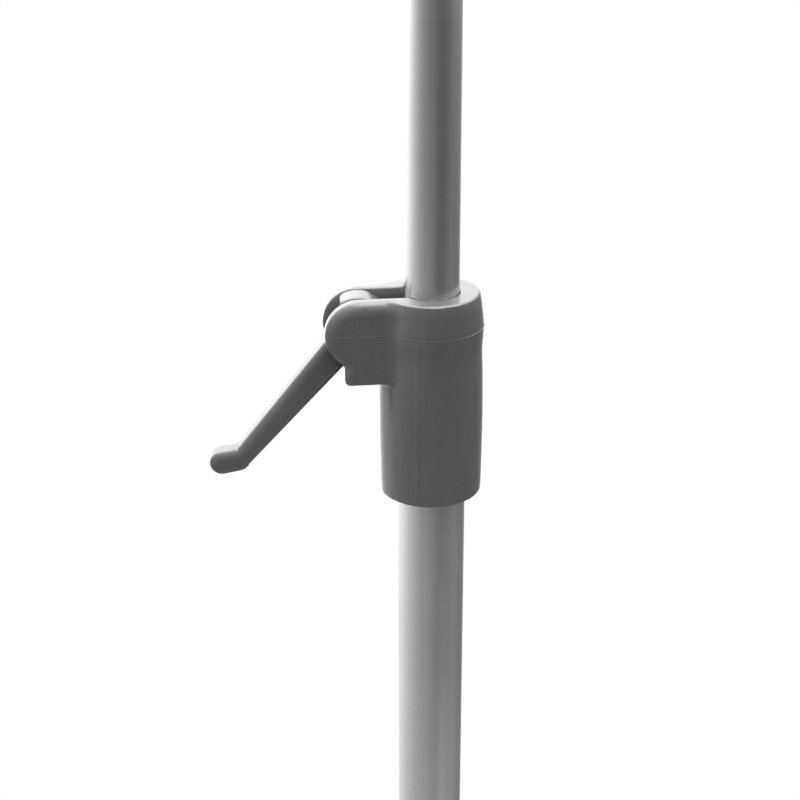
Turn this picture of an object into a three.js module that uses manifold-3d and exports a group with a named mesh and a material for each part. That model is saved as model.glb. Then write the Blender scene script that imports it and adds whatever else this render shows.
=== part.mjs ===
// A hospital drip stand: four tube legs on twin-wheel castors, a lower tube, a lever clamp and a
// telescoping upper tube that carries four bag hooks.
// Millimetres, +Z up. The origin is on the floor, under the common axis of the two tubes.
// The clamp lever points towards -X.

import * as THREE from 'three';
import { mergeVertices } from 'three/addons/utils/BufferGeometryUtils.js';
import Module from 'manifold-3d';

const wasm = await Module();
wasm.setup();

// ---------------------------------------------------------------- driving dimensions

const GAP = 0.3; // left between two pieces that touch
const TUBE_SIDES = 20;
const ROD_SIDES = 12;

const LOWER_RADIUS = 12.7;
const LOWER_WALL = 1.2;
const UPPER_RADIUS = 10;
const UPPER_WALL = 1;
const UPPER_LENGTH = 1000;
const UPPER_TOP = 1560;

const CLAMP_BOTTOM = 1080;
const CLAMP_HEIGHT = 75.4;
const TUBE_SEAT = 46; // how far the lower tube reaches into the clamp
const SLOT_HALF = 5.2; // half of the slot that the lever swings in
const CHEEK_HALF = 11.3; // from the middle to the outer face of a cheek
const PIVOT_X = -25.6;
const PIVOT_RISE = 63.4; // of the lever pivot above the clamp's bottom
const HEAD_RADIUS = 12; // of the cheeks and of the lever's head
const PIN_RADIUS = 2.5;

const LEVER_HALF = 3.5;
const LEVER_HEAD_HALF = 4.5;
const LEVER_FALL = 48.9; // degrees below the horizontal
const LEVER_REACH = 62; // from the pivot to the elbow
const TIP_LENGTH = 8.1;
const TIP_RISE = 5.6;
const TIP_RADIUS = 3.9;
const CAM_REACH = 12.2; // from the pivot to the brake shoe
const CAM_RATE = 0.6; // millimetres of shoe travel per radian of lever swing
const CLOSING_SWING = 41; // degrees from here to the locked lever

const STEM_CIRCLE = 280; // radius that the castor stems stand on
const LEG_COUNT = 4;
const LEG_FALL = 3; // degrees
const LEG_BEND = 45; // radius of the bend down to the castor
const LEG_START = 24;
const LEG_END = 68.3; // height of the leg's open lower end
const LEG_DROP = 27.7; // straight part of a leg below its bend

const HUB_BOTTOM = 119;
const HUB_SEAT = 128; // roof of the recesses that the bolt and screws sit in
const HUB_TOP = 176;
const HUB_RADIUS = 46;
const HUB_EDGE = 3; // chamfer round the hub's underside

const WHEEL_RADIUS = 25;
const WHEEL_WIDTH = 15;
const WHEEL_OFFSET = 13; // from the middle of the castor to the middle of a wheel
const TRAIL = 17;
const CASTOR_TOP = 62;
const CASTOR_TURN = 115; // degrees from the leg to the castor's front
const STEM_RADIUS = 5;
const AXLE_RADIUS = 3;

const HOOK_RADIUS = 3;
const HOOK_LEVEL = 1568;
const HOOK_COUNT = 4;

// ---------------------------------------------------------------- materials

function finish(color, roughness, metalness) {
  return new THREE.MeshStandardMaterial({ color, roughness, metalness });
}

const greyPlastic = finish('#525250', 0.36, 0);
const leverPlastic = finish('#4c4c4b', 0.34, 0);
const nylon = finish('#d9d6cc', 0.5, 0);
const blackPlastic = finish('#2a2a2b', 0.45, 0);
const satinSteel = finish('#a9a9a8', 0.34, 1);
const polishedSteel = finish('#b9b9b8', 0.16, 1);
const zincSteel = finish('#9fa09c', 0.4, 1);
const treadRubber = finish('#6f7072', 0.75, 0);
const brakeRubber = finish('#1f1f20', 0.8, 0);

// ---------------------------------------------------------------- geometry helpers

const radians = THREE.MathUtils.degToRad;

function signedVolume(positions, index) {
  const [a, b, c] = [new THREE.Vector3(), new THREE.Vector3(), new THREE.Vector3()];
  let volume = 0;
  for (let i = 0; i < index.length; i += 3) {
    a.fromBufferAttribute(positions, index[i]);
    b.fromBufferAttribute(positions, index[i + 1]);
    c.fromBufferAttribute(positions, index[i + 2]);
    volume += a.dot(b.cross(c)) / 6;
  }
  return volume;
}

// Merges shared vertices, drops the empty triangles on a lathe's axis and turns the faces out.
function closed(geometry) {
  const bare = geometry.clone();
  bare.deleteAttribute('normal');
  bare.deleteAttribute('uv');
  const merged = mergeVertices(bare, 1e-4);
  const source = merged.index.array;
  const index = [];
  for (let i = 0; i < source.length; i += 3) {
    const [p, q, r] = [source[i], source[i + 1], source[i + 2]];
    if (p !== q && q !== r && r !== p) index.push(p, q, r);
  }
  if (signedVolume(merged.attributes.position, index) < 0) index.reverse();
  merged.setIndex(index);
  merged.computeVertexNormals();
  return merged;
}

function solid(geometry) {
  const shape = closed(geometry);
  return new wasm.Manifold(new wasm.Mesh({
    numProp: 3,
    vertProperties: new Float32Array(shape.attributes.position.array),
    triVerts: new Uint32Array(shape.index.array),
  }));
}

function geometryOf(manifold) {
  const mesh = manifold.getMesh();
  const geometry = new THREE.BufferGeometry();
  geometry.setAttribute('position', new THREE.BufferAttribute(mesh.vertProperties, 3));
  geometry.setIndex(new THREE.BufferAttribute(mesh.triVerts, 1));
  geometry.computeVertexNormals();
  return geometry;
}

function join(...geometries) {
  return geometryOf(geometries.map(solid).reduce((sum, next) => sum.add(next)));
}

function cut(base, ...tools) {
  return geometryOf(tools.map(solid).reduce((rest, tool) => rest.subtract(tool), solid(base)));
}

function intersect(first, second) {
  return geometryOf(solid(first).intersect(solid(second)));
}

// Revolves [radius, height] points about Z.
function turned(profile, sides) {
  const points = profile.map(([radius, height]) => new THREE.Vector2(radius, height));
  return closed(new THREE.LatheGeometry(points, sides).rotateX(Math.PI / 2));
}

function upright(radius, low, high, sides = ROD_SIDES) {
  return turned([[0, low], [radius, low], [radius, high], [0, high]], sides);
}

function ring(inner, outer, low, high, sides = TUBE_SIDES) {
  return turned([[inner, low], [outer, low], [outer, high], [inner, high], [inner, low]], sides);
}

// A cylinder along Y between two values of y, centred on (x, z).
function crosswise(radius, low, high, x, z, sides = ROD_SIDES) {
  return upright(radius, -high, -low, sides).rotateX(Math.PI / 2).translate(x, 0, z);
}

// A cylinder that runs outward from the Z axis, turned to an angle in degrees.
function radial(radius, near, far, height, degrees, sides = ROD_SIDES) {
  return upright(radius, near, far, sides)
    .rotateY(Math.PI / 2).translate(0, 0, height).rotateZ(radians(degrees));
}

function box(low, high) {
  const size = high.map((value, axis) => value - low[axis]);
  const middle = high.map((value, axis) => (value + low[axis]) / 2);
  return new THREE.BoxGeometry(...size).translate(...middle);
}

// A side profile drawn in X and Z, extruded along Y, with its long edges bevelled.
function profiled(shape, low, high, bevel = 0, curveSegments = 6) {
  const geometry = new THREE.ExtrudeGeometry(shape, {
    depth: high - low - 2 * bevel,
    curveSegments,
    bevelEnabled: bevel > 0,
    bevelSize: bevel,
    bevelThickness: bevel,
    bevelOffset: -bevel,
    bevelSegments: 1,
  });
  return closed(geometry.translate(0, 0, bevel).rotateX(Math.PI / 2).translate(0, high, 0));
}

function outline(points) {
  return new THREE.Shape(points.map(([x, y]) => new THREE.Vector2(x, y)));
}

// A round bar or tube swept along a curve.
function swept(path, outer, inner, sides, steps) {
  const section = new THREE.Shape().absarc(0, 0, outer, 0, 2 * Math.PI);
  if (inner > 0) section.holes.push(new THREE.Path().absarc(0, 0, inner, 0, 2 * Math.PI, true));
  return closed(new THREE.ExtrudeGeometry(section, {
    steps,
    curveSegments: sides,
    extrudePath: path,
    bevelEnabled: false,
  }));
}

const stand = new THREE.Group();

function place(parent, name, geometry, material) {
  const mesh = new THREE.Mesh(geometry, material);
  mesh.name = name;
  parent.add(mesh);
  return mesh;
}

// ---------------------------------------------------------------- legs

const legPath = (() => {
  const slope = radians(LEG_FALL);
  const bendMiddle = new THREE.Vector3(STEM_CIRCLE - LEG_BEND, 0, LEG_END + LEG_DROP);
  const bendStart = new THREE.Vector3(Math.sin(slope), 0, Math.cos(slope))
    .multiplyScalar(LEG_BEND).add(bendMiddle);
  const hubHeight = bendStart.z + (bendStart.x - LEG_START) * Math.tan(slope);
  const turn = Math.PI / 2 - slope;
  // A cubic whose handles make it an arc to within a few hundredths of a millimetre.
  const handle = (4 / 3) * Math.tan(turn / 4) * LEG_BEND;
  const bendEnd = new THREE.Vector3(STEM_CIRCLE, 0, bendMiddle.z);
  const intoBend = new THREE.Vector3(Math.cos(slope), 0, -Math.sin(slope)).multiplyScalar(handle);
  const path = new THREE.CurvePath();
  path.add(new THREE.LineCurve3(new THREE.Vector3(LEG_START, 0, hubHeight), bendStart));
  path.add(new THREE.CubicBezierCurve3(
    bendStart,
    bendStart.clone().add(intoBend),
    bendEnd.clone().setZ(bendEnd.z + handle),
    bendEnd,
  ));
  path.add(new THREE.LineCurve3(bendEnd, bendEnd.clone().setZ(LEG_END)));
  return path;
})();

const legRoot = legPath.getPoint(0);
const LEG_SCREW_CIRCLE = 34;
const LEG_SCREW_RADIUS = 3;
const LEG_SCREW_HEAD = 6;
const SOCKET_END = 60; // how far a leg's socket is bored, past the hub's side

function legSocket(degrees) {
  return upright(LOWER_RADIUS + 2 * GAP, -GAP, SOCKET_END, ROD_SIDES)
    .rotateY(Math.PI / 2 + radians(LEG_FALL))
    .translate(legRoot.x, 0, legRoot.z)
    .rotateZ(radians(degrees));
}

const legTube = swept(legPath, LOWER_RADIUS, LOWER_RADIUS - LOWER_WALL, 6, 10);
const legScrewHole = upright(LEG_SCREW_RADIUS + GAP, HUB_SEAT, legRoot.z)
  .translate(LEG_SCREW_CIRCLE, 0, 0);
const leg = cut(legTube, legScrewHole);
const legScrew = turned([
  [0, HUB_SEAT - 4.3],
  [LEG_SCREW_HEAD - 0.5, HUB_SEAT - 4.3],
  [LEG_SCREW_HEAD, HUB_SEAT - GAP],
  [LEG_SCREW_RADIUS, HUB_SEAT - GAP],
  [LEG_SCREW_RADIUS, legRoot.z - 4],
  [0, legRoot.z - 4],
], ROD_SIDES).translate(LEG_SCREW_CIRCLE, 0, 0);

// ---------------------------------------------------------------- castors

const AXLE_HALF = 16.2;
const HOOD_RADIUS = 29;
const HOOD_HALF = 20.5;
const WELL_RADIUS = 26.5;
const WEB_HALF = 4.5;
const HOOD_LOW = 18;
const STEM_LOW = 49;
const STEM_HIGH = 87;
const PEDAL_REACH = 30.5; // from the wheel axle to the pedal's pivot
const PEDAL_LIFT = 8; // degrees above the horizontal when it is off
const PEDAL_HALF = 10;
const PEDAL_LUG = { radius: 6.8, half: 14 }; // on the hood, round the pedal's pivot
const TRUNNION_RADIUS = 1.5;
const TRUNNION_HALF = 12.7;
const BOSS_RADIUS = 11; // of the hood's boss round the stem

const wheelX = -TRAIL;
const pedalX = wheelX - PEDAL_REACH * Math.SQRT1_2;
const pedalZ = WHEEL_RADIUS + PEDAL_REACH * Math.SQRT1_2;

function castorBody(braked) {
  const hood = intersect(
    crosswise(HOOD_RADIUS, -HOOD_HALF, HOOD_HALF, wheelX, WHEEL_RADIUS, 20),
    box([wheelX - 40, -30, HOOD_LOW], [wheelX + 40, 30, 80]),
  );
  const boss = turned([
    [0, 36],
    [BOSS_RADIUS, 36],
    [BOSS_RADIUS, CASTOR_TOP - 4],
    [BOSS_RADIUS - 1.5, CASTOR_TOP],
    [0, CASTOR_TOP],
  ], 16);
  const lug = crosswise(PEDAL_LUG.radius, -PEDAL_LUG.half, PEDAL_LUG.half, pedalX, pedalZ);
  const shell = braked ? join(hood, boss, lug) : join(hood, boss);
  const cuts = [
    crosswise(WELL_RADIUS, WEB_HALF, 30, wheelX, WHEEL_RADIUS, 20),
    crosswise(WELL_RADIUS, -30, -WEB_HALF, wheelX, WHEEL_RADIUS, 20),
    crosswise(AXLE_RADIUS + GAP, -10, 10, wheelX, WHEEL_RADIUS),
    upright(STEM_RADIUS + GAP, STEM_LOW - 0.4, CASTOR_TOP + 1),
  ];
  if (braked) {
    cuts.push(crosswise(8, -PEDAL_HALF - GAP, PEDAL_HALF + GAP, pedalX, pedalZ));
    cuts.push(crosswise(
      TRUNNION_RADIUS + GAP, -TRUNNION_HALF - GAP, TRUNNION_HALF + GAP, pedalX, pedalZ,
    ));
  }
  return cut(shell, ...cuts);
}

function brakePedal() {
  const barrel = crosswise(4.3, -PEDAL_HALF, PEDAL_HALF, 0, 0);
  const trunnion = crosswise(TRUNNION_RADIUS, -TRUNNION_HALF, TRUNNION_HALF, 0, 0);
  const tread = profiled(outline([
    [0, -1.8], [-24, -2.2], [-26, -0.6], [-26, 1.4], [-24, 2.6], [0, 3.6],
  ]), -PEDAL_HALF, PEDAL_HALF, 0.6);
  return join(barrel, trunnion, tread)
    .rotateY(radians(PEDAL_LIFT)).translate(pedalX, 0, pedalZ);
}

// Revolved about Z, with its outer face up; castorWheel turns it to face either way.
const WHEEL_PROFILE = (() => {
  const half = WHEEL_WIDTH / 2;
  return [
    [0, half - 0.9],
    [17, half - 0.9],
    [19, half],
    [23.5, half],
    [WHEEL_RADIUS, half - 1.5],
    [WHEEL_RADIUS, 1.5 - half],
    [24, -half],
    [AXLE_RADIUS + GAP, -half],
    [AXLE_RADIUS + GAP, 3.5],
    [0, 3.5],
  ];
})();

function castorWheel(side) {
  return turned(WHEEL_PROFILE, 14)
    .rotateX(side * -Math.PI / 2).translate(wheelX, side * WHEEL_OFFSET, WHEEL_RADIUS);
}

const castorStem = turned([
  [0, STEM_LOW],
  [STEM_RADIUS, STEM_LOW],
  [STEM_RADIUS, CASTOR_TOP + 0.4],
  [8.5, CASTOR_TOP + 0.4],
  [8.5, CASTOR_TOP + 2.4],
  [STEM_RADIUS, CASTOR_TOP + 2.4],
  [STEM_RADIUS, STEM_HIGH],
  [0, STEM_HIGH],
], 10);

const SOCKET_RADIUS = 10.8; // clear of the flats inside the leg's tube

const castorSocket = turned([
  [STEM_RADIUS + GAP, LEG_END - 3.6],
  [LOWER_RADIUS, LEG_END - 3.6],
  [LOWER_RADIUS, LEG_END - GAP],
  [SOCKET_RADIUS, LEG_END - GAP],
  [SOCKET_RADIUS, STEM_HIGH + 2],
  [0, STEM_HIGH + 2],
  [0, STEM_HIGH + 0.6],
  [STEM_RADIUS + GAP, STEM_HIGH + 0.6],
  [STEM_RADIUS + GAP, LEG_END - 3.6],
], ROD_SIDES);

// ---------------------------------------------------------------- base

const HUB_FLOOR = HUB_SEAT + 6.3;
const BOLT_RADIUS = 4;
const WASHER_RADIUS = 10;

for (let i = 0; i < LEG_COUNT; i += 1) {
  const degrees = 45 + (360 / LEG_COUNT) * i;
  const number = i + 1;
  const arm = new THREE.Group();
  arm.rotation.z = radians(degrees);
  stand.add(arm);
  place(arm, `leg_${number}`, leg, satinSteel);
  place(arm, `leg_screw_${number}`, legScrew, zincSteel);

  const castor = new THREE.Group();
  castor.position.x = STEM_CIRCLE;
  castor.rotation.z = radians(CASTOR_TURN);
  arm.add(castor);
  const braked = i % 2 === 0;
  place(castor, `castor_socket_${number}`, castorSocket, blackPlastic);
  place(castor, `castor_stem_${number}`, castorStem, zincSteel);
  place(castor, `castor_body_${number}`, castorBody(braked), greyPlastic);
  place(castor, `castor_axle_${number}`,
    crosswise(AXLE_RADIUS, -AXLE_HALF, AXLE_HALF, wheelX, WHEEL_RADIUS), zincSteel);
  place(castor, `castor_wheel_left_${number}`, castorWheel(1), treadRubber);
  place(castor, `castor_wheel_right_${number}`, castorWheel(-1), treadRubber);
  if (braked) place(castor, `brake_pedal_${number}`, brakePedal(), blackPlastic);
}

const hubBody = turned([
  [0, HUB_BOTTOM],
  [HUB_RADIUS - HUB_EDGE, HUB_BOTTOM],
  [HUB_RADIUS, HUB_BOTTOM + HUB_EDGE],
  [HUB_RADIUS, HUB_TOP - 14],
  [HUB_RADIUS - 4, HUB_TOP - 4],
  [HUB_RADIUS - 8, HUB_TOP],
  [0, HUB_TOP],
], 24);
const hubCuts = [
  upright(LOWER_RADIUS + GAP, HUB_FLOOR, HUB_TOP + 1, TUBE_SIDES),
  upright(BOLT_RADIUS + 0.4, HUB_BOTTOM - 1, HUB_FLOOR + 1),
  upright(WASHER_RADIUS + 1, HUB_BOTTOM - 1, HUB_SEAT, TUBE_SIDES),
];
for (let i = 0; i < LEG_COUNT; i += 1) {
  const degrees = 45 + (360 / LEG_COUNT) * i;
  hubCuts.push(legSocket(degrees));
  hubCuts.push(upright(LEG_SCREW_RADIUS + GAP, HUB_BOTTOM - 1, legRoot.z)
    .translate(LEG_SCREW_CIRCLE, 0, 0).rotateZ(radians(degrees)));
  hubCuts.push(upright(LEG_SCREW_HEAD + 0.6, HUB_BOTTOM - 1, HUB_SEAT)
    .translate(LEG_SCREW_CIRCLE, 0, 0).rotateZ(radians(degrees)));
}
place(stand, 'base_hub', cut(hubBody, ...hubCuts), greyPlastic);

const COVER_TOP = HUB_TOP + 30;
place(stand, 'hub_cover', turned([
  [38, HUB_TOP + GAP],
  [34, HUB_TOP + 10],
  [22, HUB_TOP + 22],
  [17, COVER_TOP],
  [LOWER_RADIUS + 0.4, COVER_TOP],
  [LOWER_RADIUS + 0.4, COVER_TOP - 6],
  [19, HUB_TOP + 20],
  [31, HUB_TOP + 8],
  [35, HUB_TOP + GAP],
  [38, HUB_TOP + GAP],
], TUBE_SIDES), greyPlastic);

place(stand, 'base_washer',
  ring(BOLT_RADIUS + 0.6, WASHER_RADIUS, HUB_SEAT - 2.4, HUB_SEAT - GAP, 16), zincSteel);
place(stand, 'base_bolt', join(
  upright(7, HUB_SEAT - 8.2, HUB_SEAT - 2.7, 6),
  upright(BOLT_RADIUS, HUB_SEAT - 3, HUB_FLOOR + 24),
), zincSteel);
place(stand, 'pole_plug', ring(
  BOLT_RADIUS + GAP,
  LOWER_RADIUS - LOWER_WALL - GAP,
  HUB_FLOOR + GAP,
  HUB_FLOOR + 26,
  16,
), zincSteel);

// ---------------------------------------------------------------- lower tube and its bush

const SCREW_RISE = 15; // of the clamp's fixing screw above the clamp's bottom
const SCREW_SEAT = 16;
const SCREW_RADIUS = 1.8;
const SCREW_HEAD_RADIUS = 3.2;
const lowerTop = CLAMP_BOTTOM + TUBE_SEAT;
const lowerInner = LOWER_RADIUS - LOWER_WALL;
const clampScrewHole = crosswise(SCREW_RADIUS + GAP, 9, 25, 0, CLAMP_BOTTOM + SCREW_RISE);

place(stand, 'lower_pole',
  cut(ring(lowerInner, LOWER_RADIUS, HUB_FLOOR + GAP, lowerTop), clampScrewHole), satinSteel);

const BUSH_FLANGE = 3;
place(stand, 'guide_bush', turned([
  [UPPER_RADIUS + GAP, lowerTop - 20],
  [lowerInner - GAP, lowerTop - 20],
  [lowerInner - GAP, lowerTop + GAP],
  [LOWER_RADIUS, lowerTop + GAP],
  [LOWER_RADIUS, lowerTop + BUSH_FLANGE],
  [UPPER_RADIUS + GAP, lowerTop + BUSH_FLANGE],
  [UPPER_RADIUS + GAP, lowerTop - 20],
], TUBE_SIDES), nylon);

// ---------------------------------------------------------------- clamp collar

const pivotZ = CLAMP_BOTTOM + PIVOT_RISE;
const clampTop = CLAMP_BOTTOM + CLAMP_HEIGHT;
const SLOT_FLOOR = 50.3; // of the lever's slot through the wall, above the clamp's bottom
const CHEEK_BOTTOM = 46.2;
const CHEEK_EDGE = -31.1; // the upright front edge below the round of a cheek

const sleeve = turned([
  [0, 0], [17.4, 0], [18.3, 1.2], [18.7, 30], [18.2, 54], [18.8, PIVOT_RISE], [17.8, 72],
  [17.4, 74.4], [16.5, CLAMP_HEIGHT], [0, CLAMP_HEIGHT],
], 24).translate(0, 0, CLAMP_BOTTOM);

function cheekShape() {
  const lowerTurn = Math.PI + Math.acos((PIVOT_X - CHEEK_EDGE) / HEAD_RADIUS);
  const shape = new THREE.Shape();
  shape.moveTo(-11, clampTop);
  shape.lineTo(PIVOT_X, clampTop);
  shape.absarc(PIVOT_X, pivotZ, HEAD_RADIUS, Math.PI / 2, lowerTurn);
  shape.lineTo(CHEEK_EDGE, CLAMP_BOTTOM + CHEEK_BOTTOM + 2);
  shape.lineTo(CHEEK_EDGE + 2, CLAMP_BOTTOM + CHEEK_BOTTOM);
  shape.lineTo(-11, CLAMP_BOTTOM + CHEEK_BOTTOM);
  return shape;
}

const SHOE_LUG = { half: 6.5, low: 58, high: 68, back: -12.8, front: -9.8 };

const collar = cut(
  join(sleeve, profiled(cheekShape(), -CHEEK_HALF, CHEEK_HALF, 1.1, 9)),
  // the seat of the lower tube and, above its bush, the bore for the upper tube
  upright(LOWER_RADIUS + GAP, CLAMP_BOTTOM - 1, lowerTop + BUSH_FLANGE + GAP, TUBE_SIDES),
  upright(UPPER_RADIUS + 0.4, CLAMP_BOTTOM + 10, clampTop + 1, TUBE_SIDES),
  // the lever's slot, in the wall and between the cheeks
  box([-45, -SLOT_HALF, CLAMP_BOTTOM + SLOT_FLOOR], [-5, SLOT_HALF, clampTop + 1]),
  box([-45, -SLOT_HALF, CLAMP_BOTTOM + 40], [-19.5, SLOT_HALF, clampTop + 1]),
  // side pockets that hold the brake shoe's lugs
  box(
    [SHOE_LUG.back - 1.4, -SHOE_LUG.half - 0.4, CLAMP_BOTTOM + SHOE_LUG.low - GAP],
    [SHOE_LUG.front + 1.8, SHOE_LUG.half + 0.4, CLAMP_BOTTOM + SHOE_LUG.high + GAP],
  ),
  // the pin's hole goes through the rear cheek and is blind in the front one
  crosswise(PIN_RADIUS + GAP, -9.3, CHEEK_HALF + 1, PIVOT_X, pivotZ, 14),
  clampScrewHole,
  crosswise(SCREW_HEAD_RADIUS + 0.4, SCREW_SEAT, 25, 0, CLAMP_BOTTOM + SCREW_RISE),
);
place(stand, 'clamp_collar', collar, greyPlastic);

place(stand, 'collar_screw', join(
  crosswise(SCREW_RADIUS, 11, SCREW_SEAT + 1, 0, CLAMP_BOTTOM + SCREW_RISE),
  crosswise(SCREW_HEAD_RADIUS, SCREW_SEAT + GAP, 18.2, 0, CLAMP_BOTTOM + SCREW_RISE),
), zincSteel);

place(stand, 'lever_pin', crosswise(PIN_RADIUS, -9, CHEEK_HALF - GAP, PIVOT_X, pivotZ, 14), zincSteel);

// ---------------------------------------------------------------- clamp lever and brake shoe

// The side of the head that faces the tubes. Its reach towards a direction falls by CAM_RATE for
// each radian, so the shoe's travel is in proportion to the lever's swing.
function camPoint(angle) {
  const reach = CAM_REACH - CAM_RATE * angle;
  return [
    PIVOT_X + reach * Math.cos(angle) + CAM_RATE * Math.sin(angle),
    pivotZ + reach * Math.sin(angle) - CAM_RATE * Math.cos(angle),
  ];
}

function headPoint(degrees) {
  return [
    PIVOT_X + HEAD_RADIUS * Math.cos(radians(degrees)),
    pivotZ + HEAD_RADIUS * Math.sin(radians(degrees)),
  ];
}

const leverAlong = new THREE.Vector2(1, 0).rotateAround(new THREE.Vector2(), radians(180 + LEVER_FALL));
const leverAcross = new THREE.Vector2(leverAlong.y, -leverAlong.x);

// A point so far down the lever from its pivot, and so far to its upper side.
function leverPoint(distance, side) {
  return new THREE.Vector2(PIVOT_X, pivotZ)
    .addScaledVector(leverAlong, distance).addScaledVector(leverAcross, side).toArray();
}

function leverHead() {
  const points = [];
  for (let degrees = -105; degrees <= 75; degrees += 12) points.push(camPoint(radians(degrees)));
  for (let degrees = 85; degrees <= 121; degrees += 12) points.push(headPoint(degrees));
  points.push([headPoint(121)[0], pivotZ + 2.2]);
  points.push(leverPoint(10, -5.4));
  return outline(points);
}

// Straight from the head to an elbow, where a short rounded tip turns up from the lever's line.
function leverArm() {
  const [tipX, tipZ] = leverPoint(LEVER_REACH + TIP_LENGTH, TIP_RISE);
  const points = [
    leverPoint(2, 6.3),
    leverPoint(LEVER_REACH - 3, 4.3),
    leverPoint(LEVER_REACH, 4.4),
    leverPoint(LEVER_REACH + 2.2, 5.9),
  ];
  for (let degrees = 98; degrees <= 262; degrees += 41) {
    points.push([
      tipX + TIP_RADIUS * Math.cos(radians(degrees)),
      tipZ + TIP_RADIUS * Math.sin(radians(degrees)),
    ]);
  }
  points.push(leverPoint(LEVER_REACH + 7.5, -0.4));
  points.push(leverPoint(LEVER_REACH + 4.1, -2.2));
  points.push(leverPoint(LEVER_REACH + 1.8, -2.7));
  points.push(leverPoint(6, -4.8));
  return outline(points);
}

place(stand, 'clamp_lever', cut(
  join(
    profiled(leverHead(), -LEVER_HEAD_HALF, LEVER_HEAD_HALF, 0.8),
    profiled(leverArm(), -LEVER_HALF, LEVER_HALF, 0.9),
  ),
  crosswise(PIN_RADIUS + GAP, -9, 9, PIVOT_X, pivotZ, 14),
), leverPlastic);

const shoeTravel = CAM_RATE * radians(CLOSING_SWING);
const SHOE_CLEAR = 0.15; // from the shoe to the cam and, when it is shut, to the tube
const shoeBack = PIVOT_X + CAM_REACH + SHOE_CLEAR;

function shoeShape() {
  const half = SLOT_HALF - GAP;
  const face = UPPER_RADIUS + SHOE_CLEAR;
  const faceX = (y) => -Math.sqrt(face * face - y * y) - shoeTravel;
  const lug = (side) => [
    [SHOE_LUG.back, side * half],
    [SHOE_LUG.back, side * SHOE_LUG.half],
    [SHOE_LUG.front, side * SHOE_LUG.half],
    [SHOE_LUG.front, side * half],
  ];
  const points = [[shoeBack, -half], ...lug(-1)];
  for (let i = 0; i <= 6; i += 1) {
    const y = -half + (2 * half * i) / 6;
    points.push([faceX(y), y]);
  }
  points.push(...lug(1).reverse(), [shoeBack, half]);
  return outline(points);
}

place(stand, 'brake_shoe', closed(new THREE.ExtrudeGeometry(shoeShape(), {
  depth: SHOE_LUG.high - SHOE_LUG.low,
  bevelEnabled: false,
}).translate(0, 0, CLAMP_BOTTOM + SHOE_LUG.low)), brakeRubber);

// ---------------------------------------------------------------- upper tube

const HUB_SCREW_LEVEL = UPPER_TOP - 14;
const HUB_SCREW_RADIUS = 2.5;
const upperInner = UPPER_RADIUS - UPPER_WALL;
const upperBottom = UPPER_TOP - UPPER_LENGTH;
const hubScrewHole = radial(HUB_SCREW_RADIUS + GAP, 7, 20, HUB_SCREW_LEVEL, 45);

place(stand, 'upper_pole',
  cut(ring(upperInner, UPPER_RADIUS, upperBottom, UPPER_TOP), hubScrewHole), polishedSteel);

place(stand, 'glide_plug', turned([
  [0, upperBottom - 30],
  [lowerInner - 1.3, upperBottom - 30],
  [lowerInner - GAP, upperBottom - 28],
  [lowerInner - GAP, upperBottom - GAP],
  [upperInner - GAP, upperBottom - GAP],
  [upperInner - GAP, upperBottom + 28],
  [0, upperBottom + 28],
], TUBE_SIDES), nylon);

// ---------------------------------------------------------------- hook head

const HEAD_HUB_RADIUS = 17;
const HEAD_HUB_LOW = UPPER_TOP - 28;
const HEAD_HUB_HIGH = HOOK_LEVEL + 8;
const HOOK_START = 6;

const headCuts = [
  upright(UPPER_RADIUS + GAP, HEAD_HUB_LOW - 1, UPPER_TOP + GAP, TUBE_SIDES),
  hubScrewHole,
];
for (let i = 0; i < HOOK_COUNT; i += 1) {
  headCuts.push(radial(HOOK_RADIUS + GAP, HOOK_START - GAP, 20, HOOK_LEVEL, (360 / HOOK_COUNT) * i));
}
place(stand, 'hook_hub', cut(turned([
  [0, HEAD_HUB_LOW],
  [13, HEAD_HUB_LOW],
  [14, HEAD_HUB_LOW + 1],
  [HEAD_HUB_RADIUS, HEAD_HUB_LOW + 20],
  [HEAD_HUB_RADIUS, HEAD_HUB_HIGH],
  [0, HEAD_HUB_HIGH],
], TUBE_SIDES), ...headCuts), greyPlastic);

place(stand, 'hub_screw', radial(HUB_SCREW_RADIUS, 7.5, 14.5, HUB_SCREW_LEVEL, 45), zincSteel);

const CAP_LOW = HEAD_HUB_HIGH + GAP;
place(stand, 'hook_cap', turned([
  [0, CAP_LOW],
  [HEAD_HUB_RADIUS, CAP_LOW],
  [HEAD_HUB_RADIUS, CAP_LOW + 3],
  [15.5, CAP_LOW + 7],
  [12.5, CAP_LOW + 10],
  [8, CAP_LOW + 11.5],
  [0, CAP_LOW + 11.5],
], TUBE_SIDES), greyPlastic);

// From the hub outward, down into the valley that a bag hangs in, and up to the ball at the tip.
const hookPath = new THREE.CatmullRomCurve3([
  [HOOK_START, 0], [26, 0], [46, 0], [60, -5], [67, -17], [72, -29], [82, -34], [92, -29], [96, -17],
  [97, -6],
].map(([reach, rise]) => new THREE.Vector3(reach, 0, HOOK_LEVEL + rise)), false, 'centripetal');
const hookTip = hookPath.getPoint(1);
const hook = join(
  swept(hookPath, HOOK_RADIUS, 0, 4, 11),
  new THREE.SphereGeometry(4.6, 8, 5).rotateX(Math.PI / 2).translate(hookTip.x, 0, hookTip.z),
);

for (let i = 0; i < HOOK_COUNT; i += 1) {
  place(stand, `hook_${i + 1}`, hook, polishedSteel).rotation.z = radians((360 / HOOK_COUNT) * i);
}

export default stand;
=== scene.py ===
"""A hospital drip stand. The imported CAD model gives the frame, and this script gives it its looks."""

import functools
import math

import bpy
import numpy as np
from mathutils import Matrix, Vector


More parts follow.
